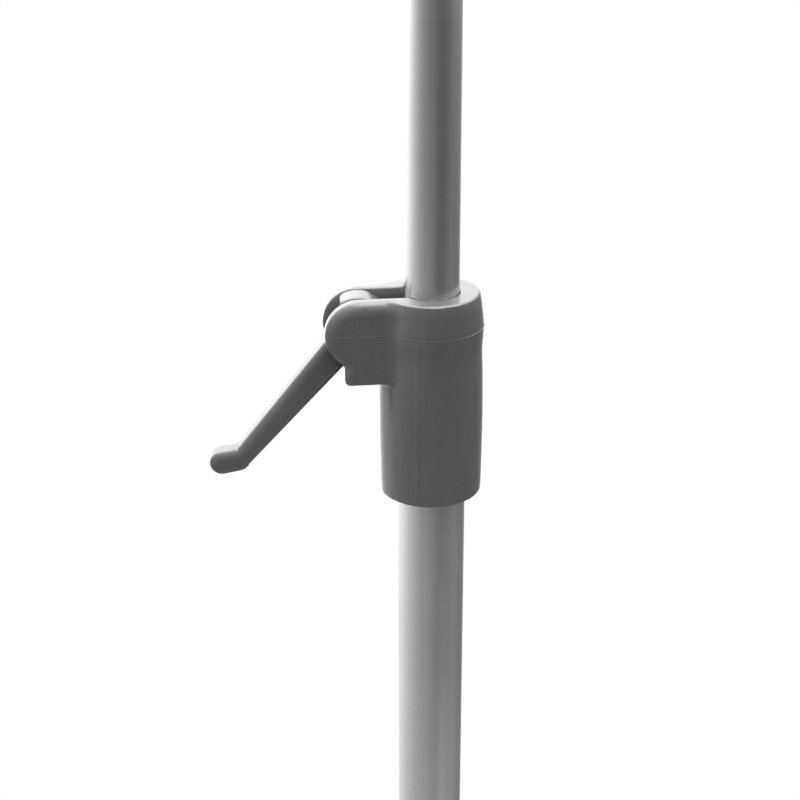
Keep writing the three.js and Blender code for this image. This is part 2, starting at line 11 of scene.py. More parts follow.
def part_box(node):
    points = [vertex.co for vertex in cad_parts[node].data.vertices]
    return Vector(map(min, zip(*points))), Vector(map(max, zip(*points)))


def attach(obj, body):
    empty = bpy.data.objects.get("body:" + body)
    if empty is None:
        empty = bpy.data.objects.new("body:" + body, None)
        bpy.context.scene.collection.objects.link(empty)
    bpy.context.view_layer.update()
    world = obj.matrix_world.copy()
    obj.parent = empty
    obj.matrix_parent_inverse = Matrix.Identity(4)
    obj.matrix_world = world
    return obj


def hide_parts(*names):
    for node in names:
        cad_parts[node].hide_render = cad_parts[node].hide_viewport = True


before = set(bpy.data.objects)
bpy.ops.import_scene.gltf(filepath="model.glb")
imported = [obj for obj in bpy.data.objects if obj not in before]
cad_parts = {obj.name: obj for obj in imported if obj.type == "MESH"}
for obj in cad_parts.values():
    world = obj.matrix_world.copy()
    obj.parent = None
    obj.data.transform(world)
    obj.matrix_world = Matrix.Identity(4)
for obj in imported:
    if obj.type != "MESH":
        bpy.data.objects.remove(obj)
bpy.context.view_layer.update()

# Sizes are in millimetres, in the frame of the CAD model, and become metres as a mesh is made.
MM = 0.001
TINY = 1e-6

# Tubes
LOWER_RADIUS = 12.7
LOWER_WALL = 1.2
UPPER_RADIUS = 10.0
UPPER_WALL = 1.0
LOWER_LOW, LOWER_HIGH = (corner.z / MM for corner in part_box("lower_pole"))
UPPER_LOW, UPPER_HIGH = (corner.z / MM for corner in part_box("upper_pole"))
LOWER_BORE = LOWER_RADIUS - LOWER_WALL - 0.3

# Clamp. Its own frame has its origin on the tubes' axis, at the bottom of the sleeve. The pivot is
# the (x, z) of the lever's pin.
CLAMP_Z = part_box("clamp_collar")[0].z / MM
CLAMP_HEIGHT = 75.4
PIVOT = (-25.6, 63.4)
HEAD_RADIUS = 12.0
CHEEK_HALF = 11.3
CHEEK_BOTTOM = 45.2
CHEEK_EDGE = -31.1
SLOT_HALF = 5.2
SLOT_WALL = 4.95
SLOT_FLOOR = 50.3
PIN_RADIUS = 2.5
SEAT_TOP = 49.3
BORE_RADIUS = UPPER_RADIUS + 0.15
PIN_BORE = PIN_RADIUS + 0.25

# Lever
LEVER_FALL = math.radians(48.9)
LEVER_HALF = 4.0
LEVER_HEAD_HALF = 4.5
ELBOW = 62.4
CAM_REACH = 12.2
CAM_RATE = 0.6
SHUT_TURN = math.radians(41)

# Legs and hub
STEM_CIRCLE = 280.0
LEG_COUNT = 4
LEG_FALL = math.radians(3.0)
LEG_BEND = 45.0
LEG_START = 24.0
LEG_END = 68.3
HUB_BOTTOM = 119.0
HUB_SEAT = 128.0
HUB_TOP = 176.0
HUB_RADIUS = 46.0
LEG_ANGLES = [math.radians(45) + 2 * math.pi / LEG_COUNT * i for i in range(LEG_COUNT)]

# Castors
WHEEL_RADIUS = 25.0
WHEEL_OFFSET = 13.0
WHEEL_HALF = 7.5
TRAIL = 17.0
CASTOR_TOP = 62.0
CASTOR_TURN = math.radians(115.0)
PEDAL_REACH = 30.5
PEDAL_LIFT = math.radians(8.0)

# Hook head
HOOK_COUNT = 4
HOOK_RADIUS = 3.0
HOOK_LEVEL = 1568.0


# ---- meshes


# A mesh is its points, its faces and, where it was moulded, its normals. The others are sharp
# where two faces meet at more than this angle.
SHARP = math.radians(38)


def make_piece(name, mesh, body, finish, node):
    """A piece that rides on a CAD body and stands in for one CAD node."""
    points, faces, *normals = mesh
    slot, material = finish
    data = bpy.data.meshes.new(name)
    data.from_pydata((np.asarray(points, float) * MM).tolist(), [], [list(f) for f in faces])
    data.validate()
    data.shade_smooth()
    if normals:
        data.normals_split_custom_set_from_vertices(normals[0].tolist())
    else:
        data.set_sharp_from_angle(angle=SHARP)
    data.materials.append(material)
    piece = bpy.data.objects.new(name, data)
    bpy.context.scene.collection.objects.link(piece)
    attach(piece, body)
    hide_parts(node)


def changed(mesh, turn, shift):
    """A mesh with its points and normals turned by a matrix, and its points then shifted."""
    points, faces, *normals = mesh
    points = np.asarray(points, float) @ turn.T + np.asarray(shift, float)
    return (points, faces, *(n @ turn.T for n in normals))


def moved(mesh, angle=0.0, shift=(0, 0, 0)):
    """A mesh turned about Z by an angle and then shifted."""
    c, s = math.cos(angle), math.sin(angle)
    return changed(mesh, np.array([[c, -s, 0], [s, c, 0], [0, 0, 1]]), shift)


def laid(mesh, axis, shift=(0, 0, 0)):
    """A mesh made about Z, laid along X or Y instead and then shifted."""
    rows = {"x": [[0, 0, 1], [1, 0, 0], [0, 1, 0]], "y": [[0, 1, 0], [0, 0, 1], [1, 0, 0]]}
    return changed(mesh, np.array(rows[axis]), shift)


def softened(corners, steps):
    """A profile with each (radius, height, fillet) corner rounded by its fillet."""
    profile = []
    count = len(corners)
    for i, (r, z, fillet) in enumerate(corners):
        here = np.array([r, z])
        if fillet <= 0 or i in (0, count - 1):
            profile.append(here)
            continue
        before = np.array(corners[i - 1][:2]) - here
        after = np.array(corners[i + 1][:2]) - here
        before_unit = before / np.linalg.norm(before)
        after_unit = after / np.linalg.norm(after)
        half = math.acos(np.clip(before_unit @ after_unit, -1, 1)) / 2
        back = fillet / math.tan(half)
        middle = here + (before_unit + after_unit) / np.linalg.norm(before_unit + after_unit) * (
            fillet / math.sin(half)
        )
        start = here + before_unit * back - middle
        end = here + after_unit * back - middle
        sweep = math.atan2(start[0] * end[1] - start[1] * end[0], start @ end)
        for k in range(steps + 1):
            a = sweep * k / steps
            c, s = math.cos(a), math.sin(a)
            profile.append(middle + np.array([c * start[0] - s * start[1], s * start[0] + c * start[1]]))
    return profile


def facing_out(points, faces):
    """The same faces, all turned over if the solid was inside out."""
    volume = 0.0
    for face in faces:
        a = points[face[0]]
        for i in range(1, len(face) - 1):
            volume += float(np.dot(a, np.cross(points[face[i]], points[face[i + 1]])))
    return points, faces if volume > 0 else [face[::-1] for face in faces]


def swept(centres, tangents, radii, sides):
    """A bar along a path in the XZ plane.

    It closes on a point where its radius falls to nothing, and otherwise its last ring joins its
    first, so that a path out and back makes a tube."""
    points, rings = [], []
    side = np.array([0.0, 1.0, 0.0])
    for centre, tangent, radius in zip(centres, tangents, radii):
        if radius < TINY:
            rings.append([len(points)] * sides)
            points.append(centre)
            continue
        across = np.cross(side, tangent / np.linalg.norm(tangent))
        rings.append(list(range(len(points), len(points) + sides)))
        for k in range(sides):
            a = 2 * math.pi * k / sides
            points.append(centre + radius * (math.cos(a) * across + math.sin(a) * side))
    pairs = list(zip(rings, rings[1:]))
    if radii[0] >= TINY:
        pairs.append((rings[-1], rings[0]))
    faces = []
    for low, high in pairs:
        for k in range(sides):
            n = (k + 1) % sides
            face = list(dict.fromkeys((low[k], low[n], high[n], high[k])))
            if len(face) > 2:
                faces.append(face)
    return facing_out(np.array(points), faces)


def revolved(corners, steps=3, sides=96):
    """A profile of (radius, height, fillet) corners turned about Z.

    A profile that comes back to its first corner makes a ring."""
    profile = np.array(softened(corners, steps))
    if np.allclose(profile[0], profile[-1]):
        profile = profile[:-1]
    centres = [np.array([0.0, 0.0, height]) for height in profile[:, 1]]
    upward = [np.array([0.0, 0.0, 1.0])] * len(centres)
    return swept(centres, upward, profile[:, 0], sides)


# ---- moulded forms

# A moulded form is a distance field: a function of x, y and z that is negative inside it.
SETTLING_ROUNDS = 4
LEAST_STEEP = 0.3


def round_max(a, b, fillet):
    """The part common to two distance fields, with the edge between them rounded."""
    outside = np.hypot(np.maximum(a + fillet, 0), np.maximum(b + fillet, 0))
    return np.minimum(np.maximum(a, b), -fillet) + outside


def round_min(a, b, fillet):
    """Two distance fields joined, with the corner between them filled."""
    return -round_max(-a, -b, fillet)


def round_cut(a, b, fillet):
    """The first distance field less the second."""
    return round_max(a, -b, fillet)


def common(*fields):
    """The part that all the distance fields share, with sharp edges."""
    return functools.reduce(np.maximum, fields)


def united(*fields):
    """All the distance fields together, with sharp corners."""
    return functools.reduce(np.minimum, fields)


def slab(value, low, high):
    """The layer between two values."""
    return np.maximum(low - value, value - high)


def hexagon(x, y):
    """How far out a point lies, measured square to the nearest flat of a hexagon."""
    turns = (0, math.radians(60), math.radians(120))
    return common(*(np.abs(x * math.cos(turn) + y * math.sin(turn)) for turn in turns))


def ramp(value, start, end):
    """Nothing at the start, one at the end, straight between and level outside."""
    return np.clip((value - start) / (end - start), 0, 1)


def eased(share):
    """A share that starts and ends gently."""
    return share * share * (3 - 2 * share)


def mixed(first, second, share):
    """Part of the way from the first to the second."""
    return first + (second - first) * share


def crown(depth, width, tilt):
    """How far a face has fallen back near its rim, curving to a tilt; depth is negative inside."""
    radius = width / math.sin(tilt)
    reach = np.clip(width + depth, 0, width)
    return radius - np.sqrt(radius * radius - reach * reach)


def capsule(x, y, start, end, start_radius, end_radius):
    """Distance to a bar with round ends between two points of a plane."""
    dx, dy = end[0] - start[0], end[1] - start[1]
    share = np.clip(((x - start[0]) * dx + (y - start[1]) * dy) / (dx * dx + dy * dy), 0, 1)
    radius = start_radius + (end_radius - start_radius) * share
    return np.hypot(x - start[0] - share * dx, y - start[1] - share * dy) - radius


def smooth_through(value, knots, heights):
    """A curve through a few points, flat in slope where it turns back."""
    knots, heights = np.asarray(knots, float), np.asarray(heights, float)
    slopes = np.gradient(heights, knots)
    i = np.clip(np.searchsorted(knots, value) - 1, 0, len(knots) - 2)
    width = knots[i + 1] - knots[i]
    t = np.clip((value - knots[i]) / width, 0, 1)
    start, end = (1 + 2 * t) * (1 - t) ** 2, t * t * (3 - 2 * t)
    lead, tail = t * (1 - t) ** 2, t * t * (t - 1)
    return (
        start * heights[i] + end * heights[i + 1] + width * (lead * slopes[i] + tail * slopes[i + 1])
    )


def grid_line(low, high, pitch, fine_at=None, fine_pitch=None, fine_half=1.0):
    """Grid values over a span with a margin, closer together around one place."""
    low, high = low - 2 * pitch, high + 2 * pitch
    if fine_at is None:
        return np.arange(low, high + pitch, pitch)
    before = np.arange(low, fine_at - fine_half, pitch)
    near = np.arange(fine_at - fine_half, fine_at + fine_half, fine_pitch)
    after = np.arange(fine_at + fine_half, high + pitch, pitch)
    return np.concatenate([before, near, after])


def slope_of(field, points, step):
    """The field's gradient at each point."""
    slope = np.empty_like(points)
    for axis in range(3):
        shift = np.zeros(3)
        shift[axis] = step
        ahead, behind = (points + shift).T, (points - shift).T
        slope[:, axis] = (field(*ahead) - field(*behind)) / (2 * step)
    return slope


def net_of(value, lines):
    """One point in each cell that the surface crosses, and the four-sided faces that join them."""
    inside = value < 0
    cells = tuple(n - 1 for n in value.shape)
    total = np.zeros((int(np.prod(cells)), 3))
    count = np.zeros(len(total))
    quads = []
    for axis in range(3):
        first, second = [other for other in range(3) if other != axis]
        v = np.moveaxis(value, axis, 0)
        s = np.moveaxis(inside, axis, 0)
        i, j, k = np.nonzero(s[:-1] != s[1:])
        share = v[i, j, k] / (v[i, j, k] - v[i + 1, j, k])
        crossing = np.empty((len(i), 3))
        crossing[:, axis] = lines[axis][i] + share * (lines[axis][i + 1] - lines[axis][i])
        crossing[:, first] = lines[first][j]
        crossing[:, second] = lines[second][k]
        corner = []
        for dj, dk in ((1, 1), (0, 1), (0, 0), (1, 0)):
            place = [None, None, None]
            place[axis], place[first], place[second] = i, j - dj, k - dk
            flat = np.ravel_multi_index(place, cells)
            count += np.bincount(flat, minlength=len(count))
            for part in range(3):
                total[:, part] += np.bincount(flat, crossing[:, part], len(count))
            corner.append(flat)
        quad = np.stack(corner, 1)
        outward = s[i, j, k] if axis != 1 else ~s[i, j, k]
        quads.append(np.where(outward[:, None], quad, quad[:, ::-1]))
    used = np.nonzero(count)[0]
    number = np.full(len(count), -1)
    number[used] = np.arange(len(used))
    return total[used] / count[used, None], number[np.concatenate(quads)]


def moulded(field, lines, reach=0.5):
    """Points, faces and exact normals of the surface where a distance field is nothing."""
    value = field(*np.meshgrid(*lines, indexing="ij"))
    points, faces = net_of(value, lines)
    for _ in range(SETTLING_ROUNDS):
        slope = slope_of(field, points, 0.01)
        steep = np.maximum((slope * slope).sum(1), LEAST_STEEP)
        move = -(field(*points.T) / steep)[:, None] * slope
        length = np.linalg.norm(move, axis=1, keepdims=True)
        points = points + move * np.minimum(1, reach / np.maximum(length, TINY))
    normals = slope_of(field, points, 0.04)
    normals /= np.maximum(np.linalg.norm(normals, axis=1, keepdims=True), TINY)
    return points, faces, normals


def moulded_in(field, low, high, pitch):
    """The same on an even grid between two corners."""
    return moulded(field, [grid_line(a, b, pitch) for a, b in zip(low, high)], pitch)



# ---- materials


class Nodes:
    """A short hand for building a tree of shader nodes."""

    def __init__(self, tree):
        self.tree = tree

    def feed(self, socket, value):
        """Give an input a value or another node's output."""
        if isinstance(value, bpy.types.NodeSocket):
            self.tree.links.new(value, socket)
        else:
            socket.default_value = value

    def add(self, kind, inputs=(), **settings):
        """A node with its inputs, by name or number, and its settings."""
        node = self.tree.nodes.new(kind)
        for key, value in settings.items():
            setattr(node, key, value)
        for key, value in dict(inputs).items():
            self.feed(node.inputs[key], value)
        return node

    def math(self, operation, *values):
        return self.add("ShaderNodeMath", enumerate(values), operation=operation).outputs[0]


class MaterialNodes(Nodes):
    """The nodes round a new material's shader. Noises are placed in the piece's own frame."""

    def __init__(self, name):
        self.material = bpy.data.materials.new(name)
        self.material.use_nodes = True
        super().__init__(self.material.node_tree)
        self.shader = self.tree.nodes["Principled BSDF"]
        self.place = self.add("ShaderNodeTexCoord").outputs["Object"]

    def stretched(self, scale):
        inputs = {"Vector": self.place, "Scale": scale}
        return self.add("ShaderNodeMapping", inputs).outputs["Vector"]

    def noise(self, scale, detail=3.0, roughness=0.55, vector=None, distortion=0.0):
        return self.add("ShaderNodeTexNoise", {
            "Vector": vector or self.place,
            "Scale": scale,
            "Detail": detail,
            "Roughness": roughness,
            "Distortion": distortion,
        }).outputs["Fac"]

    def blend(self, first, second, share):
        """Two values mixed, with a share of the second."""
        inputs = {"Factor": share, "A": first, "B": second}
        return self.add("ShaderNodeMix", inputs, data_type="FLOAT").outputs["Result"]

    def spread(self, value, low, high):
        """The middle of a noise's range, spread over a new one."""
        inputs = {"Value": value, "From Min": 0.3, "From Max": 0.7, "To Min": low, "To Max": high}
        return self.add("ShaderNodeMapRange", inputs).outputs["Result"]

    def colours(self, value, stops):
        """A ramp of colours over a value, from (position, colour) stops."""
        node = self.add("ShaderNodeValToRGB", {"Fac": value})
        elements = node.color_ramp.elements
        while len(elements) < len(stops):
            elements.new(0.5)
        for element, (position, colour) in zip(elements, stops):
            element.position = position
            element.color = (*colour, 1.0)
        return node.outputs["Color"]

    def bump(self, height, strength, distance, after=None):
        inputs = {"Height": height, "Strength": strength, "Distance": distance}
        if after is not None:
            inputs["Normal"] = after
        return self.add("ShaderNodeBump", inputs).outputs["Normal"]

    def shaded(self, colour, roughness, normal=None, **values):
        """The finished material."""
        values.update({"Base Color": colour, "Roughness": roughness})
        if normal is not None:
            values["Normal"] = normal
        for key, value in values.items():
            self.feed(self.shader.inputs[key.replace("_", " ")], value)
        return self.material


def grey(level, warmth=0.0):
    """A grey, a little towards orange where the warmth is above nothing."""
    return (level * (1 + warmth), level, level * (1 - warmth))


def moulded_plastic(name, level, roughness, grain, draw=(38.0, 38.0, 38.0), shine=0.5):
    """Injection moulded plastic: a spark-eroded grain, faint flow marks and a soft uneven gloss.

    The flow marks are stretched by draw, and shine is the strength of the surface's reflection."""
    n = MaterialNodes(name)
    flow = n.noise(1.0, 4.0, 0.6, n.stretched(draw), 0.8)
    speck = n.noise(1900.0, 2.0)
    colour = n.colours(n.blend(flow, speck, 0.5), [
        (0.34, grey(level * 0.84, 0.012)),
        (0.51, grey(level, 0.012)),
        (0.70, grey(level * 1.2, 0.012)),
    ])
    rough = n.spread(n.noise(160.0, 4.0, 0.65), roughness - 0.045, roughness + 0.055)
    waves = n.bump(n.noise(1.0, 1.0, 0.5, n.stretched(draw)), 0.05, 0.0012)
    normal = n.bump(speck, grain, 0.00005, waves)
    return n.shaded(colour, rough, normal, Specular_IOR_Level=shine)


def ground_steel(name, level, roughness, line_scale, line_strength):
    """Stainless tube finished on a belt, with fine lines round it and a few deeper ones."""
    n = MaterialNodes(name)
    fine = n.noise(1.0, 5.0, 0.7, n.stretched((26.0, 26.0, line_scale)))
    coarse = n.noise(1.0, 3.0, 0.6, n.stretched((8.0, 8.0, line_scale / 5)))
    wavy = n.noise(1.0, 2.0, 0.5, n.stretched((55.0, 55.0, 11.0)))
    cloud = n.noise(14.0, 3.0, 0.6)
    colour = n.colours(cloud, [
        (0.30, grey(level * 0.95, 0.004)),
        (0.70, grey(level * 1.04, 0.004)),
    ])
    rough = n.spread(fine, roughness - 0.05, roughness + 0.06)
    uneven = n.bump(wavy, 0.4, 0.0004)
    normal = n.bump(fine, line_strength, 0.00001, n.bump(coarse, line_strength * 0.5, 0.00002, uneven))
    return n.shaded(colour, rough, normal, Metallic=1.0)


def plated_steel(name, level, roughness):
    """Zinc plated steel with the soft mottle of the plating."""
    n = MaterialNodes(name)
    mottle = n.noise(420.0, 4.0, 0.7)
    colour = n.colours(mottle, [
        (0.30, grey(level * 0.88, 0.03)),
        (0.70, grey(level * 1.06, -0.01)),
    ])
    rough = n.spread(n.noise(900.0, 3.0), roughness - 0.07, roughness + 0.09)
    return n.shaded(colour, rough, n.bump(mottle, 0.10, 0.00003), Metallic=1.0)


def rubber(name, level, roughness):
    """Rubber with a dusty bloom and a fine pitted skin."""
    n = MaterialNodes(name)
    dust = n.noise(120.0, 5.0, 0.7)
    colour = n.colours(dust, [
        (0.32, grey(level * 0.85)),
        (0.55, grey(level)),
        (0.78, grey(level * 1.35, 0.02)),
    ])
    rough = n.spread(dust, roughness - 0.06, roughness + 0.10)
    pits = n.bump(n.noise(1800.0, 3.0), 0.18, 0.00005)
    return n.shaded(colour, rough, pits, Specular_IOR_Level=0.35)


def nylon_stock(name):
    """Natural nylon: milky, slightly see-into, with faint machining marks."""
    n = MaterialNodes(name)
    cloud = n.noise(90.0, 3.0)
    colour = n.colours(cloud, [(0.3, (0.62, 0.60, 0.52)), (0.7, (0.74, 0.72, 0.65))])
    rings = n.noise(1.0, 3.0, 0.6, n.stretched((40.0, 40.0, 2600.0)))
    return n.shaded(
        colour, n.spread(cloud, 0.42, 0.55), n.bump(rings, 0.12, 0.00002),
        Subsurface_Weight=0.15, Subsurface_Scale=0.003,
    )


# Each finish is a slot and its material.
CLAMP_PLASTIC = "grey_plastic", moulded_plastic(
    "clamp_plastic", 0.060, 0.23, 0.10, (150.0, 150.0, 14.0), 0.65
)
LEVER_PLASTIC = "lever_plastic", moulded_plastic("lever_plastic", 0.061, 0.24, 0.10, shine=0.6)
BASE_PLASTIC = "grey_plastic", moulded_plastic("base_plastic", 0.047, 0.40, 0.16)
BLACK_PLASTIC = "black_plastic", moulded_plastic("black_plastic", 0.018, 0.48, 0.20)
CORE_PLASTIC = "grey_plastic", moulded_plastic("wheel_core_plastic", 0.055, 0.42, 0.14)
SATIN_STEEL = "satin_steel", ground_steel("satin_steel", 0.62, 0.30, 5200.0, 0.02)
POLISHED_STEEL = "polished_steel", ground_steel("polished_steel", 0.62, 0.20, 3600.0, 0.05)
ZINC_STEEL = "zinc_steel", plated_steel("zinc_steel", 0.50, 0.36)
TREAD_RUBBER = "tread", rubber("tread_rubber", 0.15, 0.72)
BRAKE_RUBBER = "brake_rubber", rubber("brake_rubber", 0.014, 0.78)
NYLON = "nylon", nylon_stock("natural_nylon")


# ---- clamp collar

PARTING_RISE = 0.07
PARTING_FLASH = 0.15
PARTING_WIDTH = 0.2
WITNESS_RISE = 0.15
WITNESS_WIDTH = 0.65
WITNESS_ANGLE = math.radians(21.2)
COLLAR_EDGE = 0.6
CRISP_EDGE = 0.35
CHEEK_BLEND = 2.0
TOP_BLEND = 2.4
REAR_BLEND = 6.0
CROWN_WIDTH = 4.8
LOW_CROWN_WIDTH = 2.2
CROWN_TILT = math.radians(46)
INNER_CROWN_WIDTH = 4.0
INNER_CROWN_TILT = math.radians(26)
INNER_EDGE = 0.35
HOLE_EDGE = 0.3
# Left of the split, the cheeks stand clear of the sleeve.
CHEEK_SPLIT = -22.0
STRIP_END = -4.0
BORE_FLOOR = 40.0
SLOT_END = -6.0
SLOT_STEP = -19.5
LUG_ROOM = (-14.2, -8.0)
LUG_ROOM_HALF = 6.9
LUG_ROOM_HEIGHTS = (57.7, 68.3)
PIN_END = -9.3
SCREW_HEIGHT = 15.0
SCREW_SEAT = 16.0
SCREW_HOLE = 3.6
# The sleeve swells a little at half height and at the ridge, and draws in towards its top.
SLEEVE_HEIGHTS = [-2, 0, 14, 32, 46, 55, 62, 64.5, 69, 72.5, 75.4, 77]
SLEEVE_RADII = [18.3, 18.4, 18.65, 18.75, 18.5, 18.25, 18.6, 18.55, 18.1, 17.65, 17.0, 16.5]


def from_pivot(x, z):
    """Distance from the line of the lever's pin."""
    return np.hypot(x - PIVOT[0], z - PIVOT[1])


def parting(x, z):
    """The thin ridge that the halves of the mould leave, heavier away from the cheeks."""
    rise = PARTING_RISE + PARTING_FLASH * ramp(x, 6, 14)
    return rise * np.exp(-(((z - PIVOT[1]) / PARTING_WIDTH) ** 2))


def witness(x, y, z):
    """A faint upright line that an insert of the mould leaves on the front, below the ridge."""
    across = x * math.cos(WITNESS_ANGLE) - y * math.sin(WITNESS_ANGLE)
    line = WITNESS_RISE * np.exp(-((across / WITNESS_WIDTH) ** 2))
    below_ridge = np.clip(PIVOT[1] - 0.8 - z, 0, 1)
    return line * below_ridge * ramp(z, 2, 4) * (y < 0)


def cheek_outline(x, z):
    """The cheeks from the side: a round end, a foot below it and a straight run to the sleeve."""
    disc = from_pivot(x, z) - HEAD_RADIUS
    foot = round_max(CHEEK_EDGE - x, CHEEK_BOTTOM - z, 2.0)
    foot = np.maximum(foot, z - (PIVOT[1] + 7))
    run = common(PIVOT[0] - x, slab(z, 50, CLAMP_HEIGHT))
    return np.minimum(round_min(disc, foot, 0.8), run)


def rim_depth(x, z):
    """How deep inside the rim of the cheeks a point lies, as a negative distance."""
    return np.where(x < CHEEK_SPLIT, cheek_outline(x, z), slab(z, CHEEK_BOTTOM, CLAMP_HEIGHT))


def collar_outside(x, y, z):
    """The sleeve with the cheeks blended into it, and what the mould left on them."""
    wall = np.hypot(x, y) - smooth_through(z, SLEEVE_HEIGHTS, SLEEVE_RADII)
    width = mixed(CROWN_WIDTH, LOW_CROWN_WIDTH, ramp(z, 54, 49))
    faces = np.abs(y) - CHEEK_HALF + crown(rim_depth(x, z), width, CROWN_TILT)
    cheeks = round_max(cheek_outline(x, z), faces, CRISP_EDGE)
    strip = round_max(CHEEK_BOTTOM - z, np.maximum(faces, x - STRIP_END), CRISP_EDGE)
    blend = mixed(CHEEK_BLEND, np.where(y > 0, REAR_BLEND, TOP_BLEND), ramp(z, 66, 74))
    edge = mixed(CRISP_EDGE, COLLAR_EDGE, ramp(x, -16, -11))
    merged = round_max(round_min(wall, strip, blend), z - CLAMP_HEIGHT, edge)
    body = round_max(np.where(x < CHEEK_SPLIT, cheeks, merged), -z, 0.5)
    return body - parting(x, z) - witness(x, y, z)


def collar_inside(x, y, z):
    """The seat for the lower tube, the bore, the slot between the cheeks and the lugs' pocket."""
    radius = np.hypot(x, y)
    flare = crown(rim_depth(x, z), INNER_CROWN_WIDTH, INNER_CROWN_TILT)
    floor = np.minimum(SLOT_FLOOR - z, np.maximum(BORE_FLOOR - z, x - SLOT_STEP))
    slot = common(np.abs(y) - SLOT_WALL - flare, x - SLOT_END, floor)
    lug_room = common(slab(x, *LUG_ROOM), np.abs(y) - LUG_ROOM_HALF, slab(z, *LUG_ROOM_HEIGHTS))
    bore = np.maximum(radius - BORE_RADIUS, BORE_FLOOR - z)
    seat = np.maximum(radius - (LOWER_RADIUS + 0.3), z - SEAT_TOP)
    return united(slot, lug_room, bore, seat)


def collar_field(x, y, z):
    """The whole clamp body, with the blind hole for the pin and the one for the screw."""
    body = round_cut(collar_outside(x, y, z), collar_inside(x, y, z), INNER_EDGE)
    pin = np.maximum(from_pivot(x, z) - PIN_BORE, PIN_END - y)
    screw = np.maximum(np.hypot(x, z - SCREW_HEIGHT) - SCREW_HOLE, SCREW_SEAT - y)
    return round_cut(round_cut(body, pin, HOLE_EDGE), screw, HOLE_EDGE)


# The grid is closer together at the slot's inner end and at the ridge.
collar_lines = [
    grid_line(-37.8, 19.2, 0.6, -6.7, 0.25, 1.0),
    grid_line(-19.2, 19.2, 0.6),
    grid_line(0.0, CLAMP_HEIGHT, 0.6, PIVOT[1], 0.12, 0.72),
]
IN_CLAMP = (0, 0, CLAMP_Z)
collar = moved(moulded(collar_field, collar_lines), shift=IN_CLAMP)
make_piece("collar", collar, "stand", CLAMP_PLASTIC, "clamp_collar")


# ---- clamp lever

LEVER_CROWN_WIDTH = 3.4
LEVER_CROWN_TILT = math.radians(44)
ARM_MIDDLES = (0.45, 0.80)
ARM_HALVES = (5.9, 3.55)
ARM_SPAN = (-1.3, 65.3)
TIP_START = (65.3, 1.5)
TIP_END = (69.7, 5.2)
TIP_RADII = (4.35, 4.45)
CAM_SPAN = (-2.0, 1.3)
CAM_END = (0.93, 1.28)


def lever_frame(x, z):
    """How far a point is down the lever from its pivot, and how far to its upper side."""
    c, s = math.cos(LEVER_FALL), math.sin(LEVER_FALL)
    dx, dz = x - PIVOT[0], z - PIVOT[1]
    return -c * dx - s * dz, -s * dx + c * dz


def lever_arm(down, side):
    """The outline from the side: an arm that tapers to its elbow, and a round tip that turns up."""
    share = np.clip(down / ELBOW, 0, 1.1)
    arm = np.maximum(np.abs(side - mixed(*ARM_MIDDLES, share)) - mixed(*ARM_HALVES, share),
                     slab(down, *ARM_SPAN))
    return np.minimum(arm, capsule(down, side, TIP_START, TIP_END, *TIP_RADII))


def lever_head(x, y, z):
    """The head between the cheeks. Towards the tubes its reach falls as it turns, which is the cam."""
    angle = np.arctan2(z - PIVOT[1], x - PIVOT[0])
    cam = CAM_REACH - CAM_RATE * np.clip(angle, *CAM_SPAN)
    cam = mixed(cam, HEAD_RADIUS, eased(ramp(angle, *CAM_END)))
    cam = np.where(angle < CAM_SPAN[0], HEAD_RADIUS, cam)
    sides = round_max(np.abs(y) - LEVER_HEAD_HALF, (PIVOT[0] - 6.15) - x, 2.0)
    return round_max(from_pivot(x, z) - cam, sides, 0.8)


def lever_field(x, y, z):
    """The arm with rounded sides, and the head with the pin's hole."""
    arm = lever_arm(*lever_frame(x, z))
    face = np.abs(y) - LEVER_HALF + crown(arm, LEVER_CROWN_WIDTH, LEVER_CROWN_TILT)
    body = round_min(round_max(arm, face, 0.3), lever_head(x, y, z), 0.5)
    return round_cut(body, from_pivot(x, z) - PIN_BORE, HOLE_EDGE)


lever = moved(moulded_in(lever_field, (-81, -4.6, 9), (-12.6, 4.6, 76), 0.45), shift=IN_CLAMP)
make_piece("lever", lever, "lever", LEVER_PLASTIC, "clamp_lever")


# ---- inside the clamp

LUG_HALF = 6.5
SHOE_LOW, SHOE_HIGH = 58.0, 68.0
PAN_RADIUS = 3.2
PAN_LOW, PAN_HIGH = 16.3, 18.2
RECESS_FLOOR = 16.9


def shoe_field(x, y, z):
    """The block between the cam and the tube, with its two side lugs and a hollowed face."""
    back = PIVOT[0] + CAM_REACH + 0.15
    core = common(back - x, x + 7, np.abs(y) - (SLOT_HALF - 0.3))
    lugs = np.maximum(slab(x, -12.8, -9.8), np.abs(y) - LUG_HALF)
    face = np.hypot(x + CAM_RATE * SHUT_TURN, y) - BORE_RADIUS
    plan = round_cut(np.minimum(core, lugs), face, 0.2)
    return round_max(plan, slab(z, SHOE_LOW, SHOE_HIGH), 0.5)


shoe = moulded_in(
    shoe_field, (-13.4, -LUG_HALF - 0.1, SHOE_LOW - 0.2), (-8, LUG_HALF + 0.1, SHOE_HIGH + 0.2), 0.25
)
make_piece("shoe", moved(shoe, shift=IN_CLAMP), "shoe", BRAKE_RUBBER, "brake_shoe")

pin = revolved([
    (0, -9.0, 0), (PIN_RADIUS, -9.0, 0.5), (PIN_RADIUS, 11.0, 0.4), (0, 11.0, 0),
], 5, 40)
pin = laid(pin, "y", (PIVOT[0], 0, CLAMP_Z + PIVOT[1]))
make_piece("pivot_pin", pin, "stand", ZINC_STEEL, "lever_pin")


